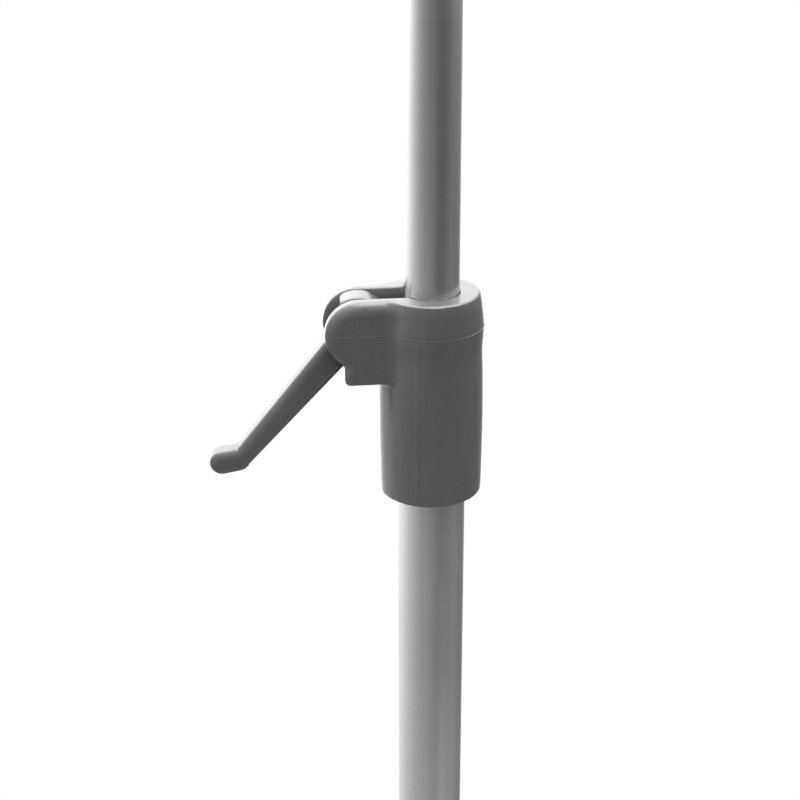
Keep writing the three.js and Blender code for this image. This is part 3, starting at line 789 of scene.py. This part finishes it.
def pan_head_field(x, y, z):
    """A pan head with a cross recess on a plain shank, standing along Z with its head up."""
    radius = np.hypot(x, y)
    head = round_max(radius - PAN_RADIUS, slab(z, PAN_LOW, PAN_HIGH), 0.7)
    shank = round_max(radius - 1.8, slab(z, 11.0, 17.0), 0.3)
    depth = z - RECESS_FLOOR
    arm = 0.42 + 0.12 * depth
    reach = 1.9 + 0.25 * depth
    first = np.maximum(np.abs(x) - arm, np.abs(y) - reach)
    second = np.maximum(np.abs(y) - arm, np.abs(x) - reach)
    recess = np.maximum(united(first, second), -depth)
    return round_cut(np.minimum(head, shank), recess, 0.08)


screw = moulded_in(pan_head_field, (-3.3, -3.3, 10.8), (3.3, 3.3, 18.4), 0.16)
screw = laid(screw, "y", (0, 0, CLAMP_Z + SCREW_HEIGHT))
make_piece("fixing_screw", screw, "stand", ZINC_STEEL, "collar_screw")


# ---- tubes

RIM = 0.35


def tube(outer, wall, low, high):
    """A straight tube with softened rims."""
    inner = outer - wall
    middle = (low + high) / 2
    return revolved([
        (outer, middle, 0), (outer, high, RIM), (inner, high, RIM),
        (inner, low, RIM), (outer, low, RIM), (outer, middle, 0),
    ], sides=128)


lower_tube = tube(LOWER_RADIUS, LOWER_WALL, LOWER_LOW, LOWER_HIGH)
make_piece("lower_tube", lower_tube, "stand", SATIN_STEEL, "lower_pole")
upper_tube = tube(UPPER_RADIUS, UPPER_WALL, UPPER_LOW, UPPER_HIGH)
make_piece("upper_tube", upper_tube, "mast", POLISHED_STEEL, "upper_pole")

BUSH_BORE = 10.3
BUSH_LOW, BUSH_HIGH = LOWER_HIGH - 20, LOWER_HIGH + 3
bush = revolved([
    (BUSH_BORE, BUSH_LOW, 0), (LOWER_BORE, BUSH_LOW, 0.3), (LOWER_BORE, LOWER_HIGH + 0.3, 0),
    (LOWER_RADIUS, LOWER_HIGH + 0.3, 0.3), (LOWER_RADIUS, BUSH_HIGH, 0.4),
    (BUSH_BORE, BUSH_HIGH, 0.4), (BUSH_BORE, BUSH_LOW, 0),
])
make_piece("tube_bush", bush, "stand", NYLON, "guide_bush")

GLIDE_NECK = 8.7
GLIDE_LOW, GLIDE_HIGH = UPPER_LOW - 30, UPPER_LOW + 28
glide = revolved([
    (0, GLIDE_LOW, 0), (LOWER_BORE, GLIDE_LOW, 1.2), (LOWER_BORE, UPPER_LOW - 0.3, 0.3),
    (GLIDE_NECK, UPPER_LOW - 0.3, 0), (GLIDE_NECK, GLIDE_HIGH, 1.0), (0, GLIDE_HIGH, 0),
])
make_piece("tube_glide", glide, "glide", NYLON, "glide_plug")


# ---- hook head

HEAD_HUB_LOW = UPPER_HIGH - 28
HEAD_HUB_HIGH = HOOK_LEVEL + 8
HEAD_HUB_FOOT = 13.6
HEAD_HUB_RADIUS = 16.9
HEAD_HUB_RISE = 21.0
BOSS_RADIUS = 5.2
BOSS_REACH = 18.2
HOOK_ROOT = 5.7
GRUB_LEVEL = UPPER_HIGH - 14
GRUB_RADIUS = 2.5
GRUB_LOW, GRUB_HIGH = 7.5, 14.5


def head_field(x, y, z):
    """The moulded head: a tapered boss with a swelling round each hook."""
    radius = np.hypot(x, y)
    rise = eased(ramp(z, HEAD_HUB_LOW, HEAD_HUB_LOW + HEAD_HUB_RISE))
    wall = radius - mixed(HEAD_HUB_FOOT, HEAD_HUB_RADIUS, rise)
    hollow = np.maximum(radius - (UPPER_RADIUS + 0.2), z - (UPPER_HIGH + 0.3))
    for across, along in ((y, x), (x, y)):
        off = np.hypot(across, z - HOOK_LEVEL)
        wall = round_min(wall, np.maximum(off - BOSS_RADIUS, np.abs(along) - BOSS_REACH), 1.6)
        hole = np.maximum(off - (HOOK_RADIUS + 0.15), HOOK_ROOT - np.abs(along))
        hollow = np.minimum(hollow, hole)
    body = round_max(wall, slab(z, HEAD_HUB_LOW, HEAD_HUB_HIGH), 1.0)
    along, across = (x + y) * math.sqrt(0.5), (x - y) * math.sqrt(0.5)
    grub_hole = np.maximum(np.hypot(across, z - GRUB_LEVEL) - (GRUB_RADIUS + 0.2), 8 - along)
    return round_cut(body, np.minimum(hollow, grub_hole), 0.4)


head = moulded_in(head_field, (-18.4, -18.4, HEAD_HUB_LOW), (18.4, 18.4, HEAD_HUB_HIGH), 0.55)
make_piece("head", head, "mast", CLAMP_PLASTIC, "hook_hub")

CAP_LOW = HEAD_HUB_HIGH + 0.3
cap = revolved([
    (0, CAP_LOW, 0), (17, CAP_LOW, 0.4), (17, CAP_LOW + 3, 0.6), (16.3, CAP_LOW + 5, 2.0),
    (13.5, CAP_LOW + 9.5, 5.0), (8, CAP_LOW + 11.5, 3.0), (0, CAP_LOW + 11.5, 0),
], 8)
make_piece("head_cap", cap, "mast", CLAMP_PLASTIC, "hook_cap")


def grub_field(x, y, z):
    """A grub screw standing along Z, with a hexagon socket in its top."""
    body = round_max(np.hypot(x, y) - GRUB_RADIUS, slab(z, GRUB_LOW, GRUB_HIGH), 0.4)
    return round_cut(body, np.maximum(hexagon(x, y) - 1.25, 12.2 - z), 0.1)


grub = laid(moulded_in(grub_field, (-2.6, -2.6, 7.4), (2.6, 2.6, 14.6), 0.16), "x")
grub = moved(grub, math.radians(45), (0, 0, GRUB_LEVEL))
make_piece("head_grub_screw", grub, "mast", ZINC_STEEL, "hub_screw")


def centripetal(knots, per_span):
    """A smooth curve through the knots, as a list of points."""
    knots = [np.asarray(k, float) for k in knots]
    knots = [2 * knots[0] - knots[1], *knots, 2 * knots[-1] - knots[-2]]
    curve = []
    for p in range(1, len(knots) - 2):
        near = knots[p - 1: p + 3]
        times = [0.0]
        for a, b in zip(near, near[1:]):
            times.append(times[-1] + np.linalg.norm(b - a) ** 0.5)
        for k in range(per_span):
            t = mixed(times[1], times[2], k / per_span)
            row = near
            for span in (1, 2):
                row = [
                    mixed(row[i], row[i + 1], (t - times[i]) / (times[i + span] - times[i]))
                    for i in range(len(row) - 1)
                ]
            curve.append(mixed(*row, k / per_span))
    curve.append(knots[-2])
    return np.array(curve)


# Distance out and height against the hook's root.
HOOK_COURSE = [
    (6.3, 0), (26, 0), (46, 0), (60, -5), (67, -17),
    (72, -29), (82, -34), (92, -29), (96, -17), (97, -6),
]
HOOK_STEPS = 9
BALL_RADIUS = 4.6
BALL_STEPS = 20


def hook_mesh():
    """A round bar along the hook's course, with a rounded inner end and a ball on the tip."""
    course = centripetal([(r, 0.0, HOOK_LEVEL + z) for r, z in HOOK_COURSE], HOOK_STEPS)
    tangents = np.gradient(course, axis=0)
    tangents /= np.linalg.norm(tangents, axis=1, keepdims=True)
    neck = BALL_RADIUS - math.sqrt(BALL_RADIUS**2 - (HOOK_RADIUS + 0.25) ** 2)
    centres = [course[0], course[0]]
    directions = [tangents[0], tangents[0]]
    radii = [0.0, HOOK_RADIUS - 0.4]
    for centre, tangent in zip(course[1:-4], tangents[1:-4]):
        centres.append(centre)
        directions.append(tangent)
        radii.append(HOOK_RADIUS)
    end, way = course[-1], tangents[-1]
    for k in range(1, BALL_STEPS):
        forward = -math.cos(math.pi * k / BALL_STEPS) * BALL_RADIUS
        if forward >= neck - BALL_RADIUS:
            centres.append(end + way * forward)
            directions.append(way)
            radii.append(math.sqrt(BALL_RADIUS**2 - forward**2))
    centres.append(end + way * BALL_RADIUS)
    directions.append(way)
    radii.append(0.0)
    return swept(centres, directions, radii, 32)


hook = hook_mesh()
for i in range(HOOK_COUNT):
    around = moved(hook, 2 * math.pi / HOOK_COUNT * i)
    make_piece(f"bag_hook_{i + 1}", around, "mast", POLISHED_STEEL, f"hook_{i + 1}")


# ---- legs

BEND_CENTRE = (STEM_CIRCLE - LEG_BEND, LEG_END + 27.7)
BEND_TURN = math.pi / 2 - LEG_FALL
LEG_ROOT_Z = (
    BEND_CENTRE[1]
    + LEG_BEND * math.cos(LEG_FALL)
    + (BEND_CENTRE[0] + LEG_BEND * math.sin(LEG_FALL) - LEG_START) * math.tan(LEG_FALL)
)
LEG_SCREW_CIRCLE = 34.0
LEG_SCREW_HEAD = 6.0
LEG_LIP = 0.3
RUN_STEPS = 9
BEND_STEPS = 24


def leg_course():
    """Middle line and directions of a leg, from the hub to its open lower end."""
    down_slope = np.array([math.cos(LEG_FALL), 0.0, -math.sin(LEG_FALL)])
    start = np.array([LEG_START, 0.0, LEG_ROOT_Z])
    turn_start = np.array([
        BEND_CENTRE[0] + LEG_BEND * math.sin(LEG_FALL), 0.0,
        BEND_CENTRE[1] + LEG_BEND * math.cos(LEG_FALL),
    ])
    centres, tangents = [], []
    for k in range(RUN_STEPS):
        centres.append(start + (turn_start - start) * k / RUN_STEPS)
        tangents.append(down_slope)
    for k in range(BEND_STEPS + 1):
        a = BEND_TURN * (1 - k / BEND_STEPS)
        out, up = math.cos(a), math.sin(a)
        centres.append(np.array([BEND_CENTRE[0] + LEG_BEND * out, 0.0, BEND_CENTRE[1] + LEG_BEND * up]))
        tangents.append(np.array([up, 0.0, -out]))
    centres.append(np.array([STEM_CIRCLE, 0.0, LEG_END]))
    tangents.append(np.array([0.0, 0.0, -1.0]))
    return np.array(centres), np.array(tangents)


def leg_mesh():
    """The outer skin out along the course and the bore back, with a small chamfer at each rim."""
    centres, tangents = leg_course()
    inner = LOWER_RADIUS - LOWER_WALL
    first, last = centres[:1], centres[-1:]
    centres = np.concatenate([
        first, first + tangents[:1] * LEG_LIP, centres[1:-1], last - tangents[-1:] * LEG_LIP, last,
    ])
    tangents = np.concatenate([tangents[:1], tangents, tangents[-1:]])
    between = len(centres) - 2
    outer_radii = [LOWER_RADIUS - LEG_LIP, *[LOWER_RADIUS] * between, LOWER_RADIUS - LEG_LIP]
    inner_radii = [inner + LEG_LIP, *[inner] * between, inner + LEG_LIP]
    return swept(
        np.concatenate([centres, centres[::-1]]),
        np.concatenate([tangents, tangents[::-1]]),
        outer_radii + inner_radii,
        56,
    )


def button_field(x, y, z):
    """A button head below a plain shank, with a hexagon socket in its underside."""
    radius = np.hypot(x, y)
    low = HUB_SEAT - 4.3
    head = round_max(radius - LEG_SCREW_HEAD, slab(z, low, HUB_SEAT - 0.3), 1.6)
    shank = round_max(radius - 3.0, slab(z, low + 2, LEG_ROOT_Z - 4), 0.4)
    socket = np.maximum(hexagon(x, y) - 2.0, z - (low + 2.4))
    return round_cut(np.minimum(head, shank), socket, 0.12)


leg = leg_mesh()
button = moulded_in(button_field, (-6.1, -6.1, HUB_SEAT - 4.5), (6.1, 6.1, LEG_ROOT_Z - 3.8), 0.3)
for i, angle in enumerate(LEG_ANGLES, 1):
    make_piece(f"leg_tube_{i}", moved(leg, angle), "stand", SATIN_STEEL, f"leg_{i}")
    place = (LEG_SCREW_CIRCLE * math.cos(angle), LEG_SCREW_CIRCLE * math.sin(angle), 0)
    screw = moved(button, angle, place)
    make_piece(f"leg_button_screw_{i}", screw, "stand", ZINC_STEEL, f"leg_screw_{i}")


# ---- hub

HUB_FLOOR = HUB_SEAT + 6.3
HUB_SHOULDER = HUB_TOP - 16
HUB_WAIST = 7.5
TUBE_ROOM = LOWER_RADIUS + 0.2
WASHER_RADIUS = 10.0


def leg_distance(x, y, z, angle):
    """How far along a leg's line a point is, and how far from that line."""
    out = x * math.cos(angle) + y * math.sin(angle) - LEG_START
    across = -x * math.sin(angle) + y * math.cos(angle)
    rise = z - LEG_ROOT_Z
    c, s = math.cos(LEG_FALL), math.sin(LEG_FALL)
    return out * c - rise * s, np.hypot(across, out * s + rise * c)


def hub_field(x, y, z):
    """The moulded hub, with a collar standing out round each leg."""
    radius = np.hypot(x, y)
    wall = radius - (HUB_RADIUS - HUB_WAIST * ramp(z, HUB_SHOULDER, HUB_TOP) ** 2)
    body = round_max(wall, slab(z, HUB_BOTTOM, HUB_TOP), 3.0)
    hollow = united(
        np.maximum(radius - TUBE_ROOM, HUB_FLOOR - z),
        radius - 4.4,
        np.maximum(radius - (WASHER_RADIUS + 1), z - HUB_SEAT),
    )
    for angle in LEG_ANGLES:
        along, off = leg_distance(x, y, z, angle)
        reach = slab(along, -10, HUB_RADIUS - LEG_START + 3.5)
        body = round_min(body, round_max(off - (LOWER_RADIUS + 3.0), reach, 1.0), 3.0)
        screw_x = LEG_SCREW_CIRCLE * math.cos(angle)
        screw_y = LEG_SCREW_CIRCLE * math.sin(angle)
        screw = np.hypot(x - screw_x, y - screw_y)
        hollow = united(
            hollow,
            np.maximum(off - TUBE_ROOM, -0.3 - along),
            np.maximum(screw - 3.3, z - LEG_ROOT_Z),
            np.maximum(screw - (LEG_SCREW_HEAD + 0.6), z - HUB_SEAT),
        )
    return round_cut(body, hollow, 0.5)


hub = moulded_in(hub_field, (-50, -50, HUB_BOTTOM), (50, 50, HUB_TOP), 1.0)
make_piece("hub", hub, "stand", BASE_PLASTIC, "base_hub")

COVER_TOP = HUB_TOP + 30
COVER_HOLE = 13.1
cover = revolved([
    (38, HUB_TOP + 0.3, 0), (37.6, HUB_TOP + 3, 0.8), (33, HUB_TOP + 11, 9),
    (20.5, HUB_TOP + 22.5, 8), (17, COVER_TOP, 1.2), (COVER_HOLE, COVER_TOP, 0.5),
    (COVER_HOLE, COVER_TOP - 6, 0.5), (19, HUB_TOP + 20, 3), (31, HUB_TOP + 8, 3),
    (35, HUB_TOP + 0.3, 0.3), (38, HUB_TOP + 0.3, 0),
], 8)
make_piece("hub_skirt", cover, "stand", BASE_PLASTIC, "hub_cover")


def hex_bolt_field(x, y, z):
    """A hexagon head below a plain shank, its corners chamfered."""
    radius = np.hypot(x, y)
    low = HUB_SEAT - 8.2
    chamfer = (radius - 6.0 - (z - low) * 1.4) * 0.6
    head = np.maximum(hexagon(x, y) - 6.05, chamfer)
    head = round_max(head, slab(z, low, HUB_SEAT - 2.7), 0.25)
    shank = round_max(radius - 4.0, slab(z, low + 2, HUB_FLOOR + 24), 0.6)
    return np.minimum(head, shank)


bolt = moulded_in(
    hex_bolt_field, (-7.1, -7.1, HUB_SEAT - 8.4), (7.1, 7.1, HUB_FLOOR + 24.2), 0.35
)
make_piece("hub_bolt", bolt, "stand", ZINC_STEEL, "base_bolt")

WASHER_LOW, WASHER_HIGH = HUB_SEAT - 2.4, HUB_SEAT - 0.3
WASHER_HOLE = 4.6
washer = revolved([
    (WASHER_HOLE, WASHER_LOW, 0), (WASHER_RADIUS, WASHER_LOW, 0.3),
    (WASHER_RADIUS, WASHER_HIGH, 0.3), (WASHER_HOLE, WASHER_HIGH, 0.3), (WASHER_HOLE, WASHER_LOW, 0),
], sides=64)
make_piece("hub_washer", washer, "stand", ZINC_STEEL, "base_washer")

PLUG_LOW, PLUG_HIGH = HUB_FLOOR + 0.3, HUB_FLOOR + 26
PLUG_BORE = 4.3
plug = revolved([
    (PLUG_BORE, PLUG_LOW, 0), (LOWER_BORE, PLUG_LOW, 0.5), (LOWER_BORE, PLUG_HIGH, 0.8),
    (PLUG_BORE, PLUG_HIGH, 0.5), (PLUG_BORE, PLUG_LOW, 0),
], sides=64)
make_piece("tube_plug", plug, "stand", ZINC_STEEL, "pole_plug")


# ---- castors

# A castor's own frame has its origin on the floor under its stem, and the wheels trail towards -X.
AXLE = (-TRAIL, WHEEL_RADIUS)
AXLE_RADIUS = 3.0
STEM_RADIUS = 5.0
SOCKET_BORE = STEM_RADIUS + 0.25
HOOD_RADIUS = 29.0
HOOD_HALF = 20.5
HOOD_FLOOR = 18.0
WELL_RADIUS = 26.4
SPINE_HALF = 4.5
BOSS_WIDTH = 11.0
RIM_RADIUS = 20.4
WEB_TURN = math.radians(60)
PEDAL_LENGTH = 26.0
PEDAL_HALF = 10.0
RIB_PITCH = 4.0
PEDAL_PIVOT = (
    -TRAIL - PEDAL_REACH * math.sqrt(0.5),
    WHEEL_RADIUS + PEDAL_REACH * math.sqrt(0.5),
)


def castor_body_field(braked):
    """The field of a hood round both wheels, with a boss for the stem and maybe a brake's notch."""

    def field(x, y, z):
        radius = np.hypot(x, y)
        beside = np.abs(y)
        from_axle = np.hypot(x - AXLE[0], z - AXLE[1])
        hood = round_max(from_axle - HOOD_RADIUS, beside - HOOD_HALF, 2.2)
        hood = round_max(hood, HOOD_FLOOR - z, 1.0)
        boss = radius - BOSS_WIDTH + 1.4 * ramp(z, CASTOR_TOP - 5, CASTOR_TOP) ** 2
        boss = round_max(boss, slab(z, 40, CASTOR_TOP), 1.2)
        body = round_min(hood, boss, 3.5)
        hollow = united(
            round_max(from_axle - WELL_RADIUS, SPINE_HALF - beside, 1.0),
            from_axle - (AXLE_RADIUS + 0.25),
            np.maximum(radius - SOCKET_BORE, 48.6 - z),
        )
        if braked:
            from_pedal = np.hypot(x - PEDAL_PIVOT[0], z - PEDAL_PIVOT[1])
            body = round_min(body, round_max(from_pedal - 6.8, beside - 14, 1.2), 1.5)
            notch = np.maximum(from_pedal - 7.9, beside - 10.3)
            hollow = united(hollow, notch, np.maximum(from_pedal - 1.75, beside - 13))
        return round_cut(body, hollow, 0.5)

    return field


def pedal_field(x, y, z):
    """The brake pedal about its own pivot: a barrel, two trunnions and a ribbed tread."""
    off = np.hypot(x, z)
    barrel = round_max(off - 4.2, np.abs(y) - PEDAL_HALF, 0.6)
    trunnion = round_max(off - 1.5, np.abs(y) - 12.7, 0.3)
    out = ramp(x, 0, -PEDAL_LENGTH)
    plate = np.abs(z - mixed(0.9, 0.55, out)) - mixed(2.6, 2.2, out)
    plan = round_max(slab(x, -PEDAL_LENGTH, 0), np.abs(y) - PEDAL_HALF, 3.0)
    tread = round_max(plan, plate, 0.8)
    from_rib = np.abs(np.mod(x + 1.5, RIB_PITCH) - RIB_PITCH / 2)
    ribs = round_max(from_rib - 0.7, slab(x, -23.5, -8.5), 0.3)
    ribs = round_max(np.maximum(ribs, np.abs(y) - 7.5), slab(z, 0, 3.6), 0.3)
    return np.minimum(round_min(np.minimum(barrel, trunnion), tread, 0.8), ribs)


def core_field(x, y, z):
    """The wheel's core about Z with its outer face up: a dished web with ribs and a hub cap."""
    radius = np.hypot(x, y)
    body = round_max(radius - (RIM_RADIUS - 0.1), slab(z, -7.3, 7.1), 0.6)
    dish = round_max(slab(radius, 7.5, 17.6), 3.9 - z, 0.8)
    angle = np.mod(np.arctan2(y, x), WEB_TURN) - WEB_TURN / 2
    rib = np.abs(radius * np.sin(angle)) - 1.2
    dish = round_cut(dish, np.maximum(rib, z - 6.2), 0.5)
    body = round_cut(body, dish, 0.5)
    cap = round_max(radius - 6.4, slab(z, 5.0, 7.4), 1.2)
    bore = np.maximum(radius - 3.2, z - 3.5)
    return round_cut(np.minimum(body, cap), bore, 0.3)


def on_axle(mesh, side):
    """A mesh made about Z with its outer face up, laid on the axle to face one side."""
    turn = np.array([[1, 0, 0], [0, 0, side], [0, -side, 0]])
    return changed(mesh, turn, (AXLE[0], side * WHEEL_OFFSET, AXLE[1]))


stem = revolved([
    (0, 49, 0), (STEM_RADIUS, 49, 0.8), (STEM_RADIUS, CASTOR_TOP + 0.4, 0.2),
    (8.5, CASTOR_TOP + 0.4, 0.4), (8.5, CASTOR_TOP + 2.4, 0.4), (STEM_RADIUS, CASTOR_TOP + 2.4, 0.3),
    (STEM_RADIUS, 84, 0.4), (4.3, 84.6, 0.2), (4.3, 85.6, 0.2), (STEM_RADIUS, 86.1, 0.2),
    (4.2, 87, 0.4), (0, 87, 0),
], 4, 48)
socket = revolved([
    (SOCKET_BORE, LEG_END - 3.6, 0), (LOWER_RADIUS, LEG_END - 3.6, 0.8),
    (LOWER_RADIUS, LEG_END - 0.3, 0.4), (11.1, LEG_END - 0.3, 0), (11.1, 89, 0.8), (0, 89, 0),
    (0, 87.6, 0), (SOCKET_BORE, 87.6, 0), (SOCKET_BORE, LEG_END - 3.6, 0),
], 4, 64)
axle = laid(revolved([
    (0, -16.2, 0), (AXLE_RADIUS, -16.2, 0.4), (AXLE_RADIUS, 16.2, 0.4), (0, 16.2, 0),
], 3, 40), "y", (AXLE[0], 0, AXLE[1]))
# The tyre's corners, as radius and distance outward along the axle.
tread = revolved([
    (RIM_RADIUS, 0, 0), (RIM_RADIUS, 7.2, 0.3), (23.6, WHEEL_HALF, 1.0), (WHEEL_RADIUS, 5.6, 1.6),
    (WHEEL_RADIUS, -5.6, 1.6), (23.6, -WHEEL_HALF, 1.0), (RIM_RADIUS, -7.2, 0.3), (RIM_RADIUS, 0, 0),
], 4)
core = moulded_in(core_field, (-RIM_RADIUS, -RIM_RADIUS, -7.4), (RIM_RADIUS, RIM_RADIUS, 7.5), 0.5)
HOOD_BOX = ((AXLE[0] - 30, -20.6, 17.8), (12, 20.6, CASTOR_TOP + 0.2))
plain_hood = moulded_in(castor_body_field(False), *HOOD_BOX, 0.6)
braked_hood = moulded_in(castor_body_field(True), *HOOD_BOX, 0.6)
pedal = moulded_in(pedal_field, (-26.2, -12.9, -4.5), (4.5, 12.9, 4.6), 0.4)
lift = np.array(Matrix.Rotation(PEDAL_LIFT, 3, "Y"))
pedal = changed(pedal, lift, (PEDAL_PIVOT[0], 0, PEDAL_PIVOT[1]))


def add_castor(number, angle):
    """A castor at the foot of a leg. The ones with an odd number have a brake."""
    heading = angle + CASTOR_TURN
    spot = (STEM_CIRCLE * math.cos(angle), STEM_CIRCLE * math.sin(angle), 0.0)
    braked = number % 2 == 1
    hood = braked_hood if braked else plain_hood
    rows = [
        ("stem", stem, "stand", ZINC_STEEL, "castor_stem"),
        ("socket", socket, "stand", BLACK_PLASTIC, "castor_socket"),
        ("castor_hood", hood, "castor", BASE_PLASTIC, "castor_body"),
        ("axle", axle, "castor", ZINC_STEEL, "castor_axle"),
    ]
    for side, word in ((1, "left"), (-1, "right")):
        wheel, node = f"wheel_{word}", f"castor_wheel_{word}"
        rows.append((f"tyre_{word}", on_axle(tread, side), wheel, TREAD_RUBBER, node))
        rows.append((f"wheel_core_{word}", on_axle(core, side), wheel, CORE_PLASTIC, node))
    if braked:
        rows.append(("pedal", pedal, "pedal", BLACK_PLASTIC, "brake_pedal"))
    for name, mesh, body, finish, node in rows:
        rider = body if body == "stand" else f"{body}_{number}"
        make_piece(f"{name}_{number}", moved(mesh, heading, spot), rider, finish, f"{node}_{number}")


for number, angle in enumerate(LEG_ANGLES, 1):
    add_castor(number, angle)


# ---- floor, lights and camera


# The room's soft patches of light: azimuth and elevation in degrees, sharpness and level.
# Azimuth runs from the camera's side to its right, and a patch below the horizon is light that
# comes back from the floor.
ROOM_LIGHT = [
    (-125, 44, 3.3, 5.6),  # a wide window, behind on the left
    (118, 59, 6, 4),  # a lamp behind on the right
    (-44, 89, 4.4, 5),  # the ceiling
    (-133, -42, 1.9, 0.55),  # floor under the window
    (-57, -27, 22, 0.11),  # floor in front on the left
    (-11, -42, 6, 0.35),  # floor in front
    (80, -42, 9, 0.33),  # floor on the right
    (-168, -20, 24, 3.3),  # foot of the backdrop
    (43, -42, 39, 0.5),  # floor in front on the right
    (-177, 3, 17, 2),  # the backdrop
    (15, 63, 45, 9),  # a small lamp over the camera
    (70, 50, 90, 6),  # a small lamp on the right
]
FAINTEST = 0.01
FLOOR_RADIUS = 0.8
FLOOR_SIDES = 128


def floor_material():
    """A pale matt floor."""
    n = MaterialNodes("pale_floor")
    colour = n.colours(n.noise(3.0, 3.0), [(0.3, grey(0.135)), (0.7, grey(0.15))])
    return n.shaded(colour, n.spread(n.noise(60.0), 0.55, 0.7), Specular_IOR_Level=0.15)


def add_floor():
    """A round floor under the stand."""
    rim = []
    for k in range(FLOOR_SIDES):
        a = 2 * math.pi * k / FLOOR_SIDES
        rim.append((FLOOR_RADIUS * math.cos(a), FLOOR_RADIUS * math.sin(a), 0))
    mesh = bpy.data.meshes.new("floor")
    mesh.from_pydata(rim, [], [list(range(FLOOR_SIDES))])
    mesh.materials.append(floor_material())
    floor = bpy.data.objects.new("floor", mesh)
    bpy.context.scene.collection.objects.link(floor)


def toward(azimuth, elevation):
    """A direction: degrees round from the camera's side to its right, and degrees up."""
    turn = math.radians(azimuth) - CAMERA_AZIMUTH
    rise = math.radians(elevation)
    return Vector((math.sin(turn) * math.cos(rise), -math.cos(turn) * math.cos(rise), math.sin(rise)))


def add_world():
    """White where the camera looks, and the room's patches of light for everything else."""
    world = bpy.data.worlds.new("studio")
    bpy.context.scene.world = world
    world.use_nodes = True
    world.node_tree.nodes.clear()
    n = Nodes(world.node_tree)
    direction = n.add("ShaderNodeTexCoord").outputs["Generated"]
    total = FAINTEST
    for azimuth, elevation, sharpness, level in ROOM_LIGHT:
        inputs = {0: direction, 1: toward(azimuth, elevation)}
        dot = n.add("ShaderNodeVectorMath", inputs, operation="DOT_PRODUCT").outputs["Value"]
        falloff = n.math("MULTIPLY", n.math("SUBTRACT", dot, 1.0), sharpness)
        patch = n.math("MULTIPLY", n.math("EXPONENT", falloff), level)
        total = n.math("ADD", patch, total)
    room = n.add("ShaderNodeBackground", {"Color": total}).outputs[0]
    white = n.add("ShaderNodeBackground", {"Color": (1, 1, 1, 1)}).outputs[0]
    seen = n.add("ShaderNodeLightPath").outputs["Is Camera Ray"]
    mix = n.add("ShaderNodeMixShader", {"Fac": seen, 1: room, 2: white})
    n.add("ShaderNodeOutputWorld", {"Surface": mix.outputs[0]})


CAMERA_ELEVATION = math.radians(23.741)
CAMERA_AZIMUTH = math.radians(5.614)
CAMERA_ROLL = math.radians(-0.364)
CAMERA_DISTANCE = 0.48219
CAMERA_ASIDE = -0.01095
CAMERA_AIM_RISE = 0.03412
CAMERA_LENS = 60.45
SENSOR = 36.0


def add_camera():
    """The viewpoint: a little above the clamp, in front and slightly towards the lever's side."""
    e, a = CAMERA_ELEVATION, CAMERA_AZIMUTH
    back = Vector((-math.sin(a) * math.cos(e), -math.cos(a) * math.cos(e), math.sin(e)))
    level_right = Vector((math.cos(a), -math.sin(a), 0.0))
    level_up = back.cross(level_right)
    c, s = math.cos(CAMERA_ROLL), math.sin(CAMERA_ROLL)
    right = c * level_right + s * level_up
    up = -s * level_right + c * level_up
    aim = level_right * CAMERA_ASIDE + Vector((0, 0, CLAMP_Z * MM + CAMERA_AIM_RISE))
    data = bpy.data.cameras.new("camera")
    data.lens = CAMERA_LENS
    data.sensor_width = SENSOR
    data.clip_start = 0.01
    data.clip_end = 100
    camera = bpy.data.objects.new("camera", data)
    camera.matrix_world = Matrix((
        (right.x, up.x, back.x, aim.x + back.x * CAMERA_DISTANCE),
        (right.y, up.y, back.y, aim.y + back.y * CAMERA_DISTANCE),
        (right.z, up.z, back.z, aim.z + back.z * CAMERA_DISTANCE),
        (0, 0, 0, 1),
    ))
    bpy.context.scene.collection.objects.link(camera)
    bpy.context.scene.camera = camera


add_floor()
add_world()
add_camera()

bpy.context.scene.view_settings.view_transform = "Standard"
bpy.context.scene.view_settings.look = "None"
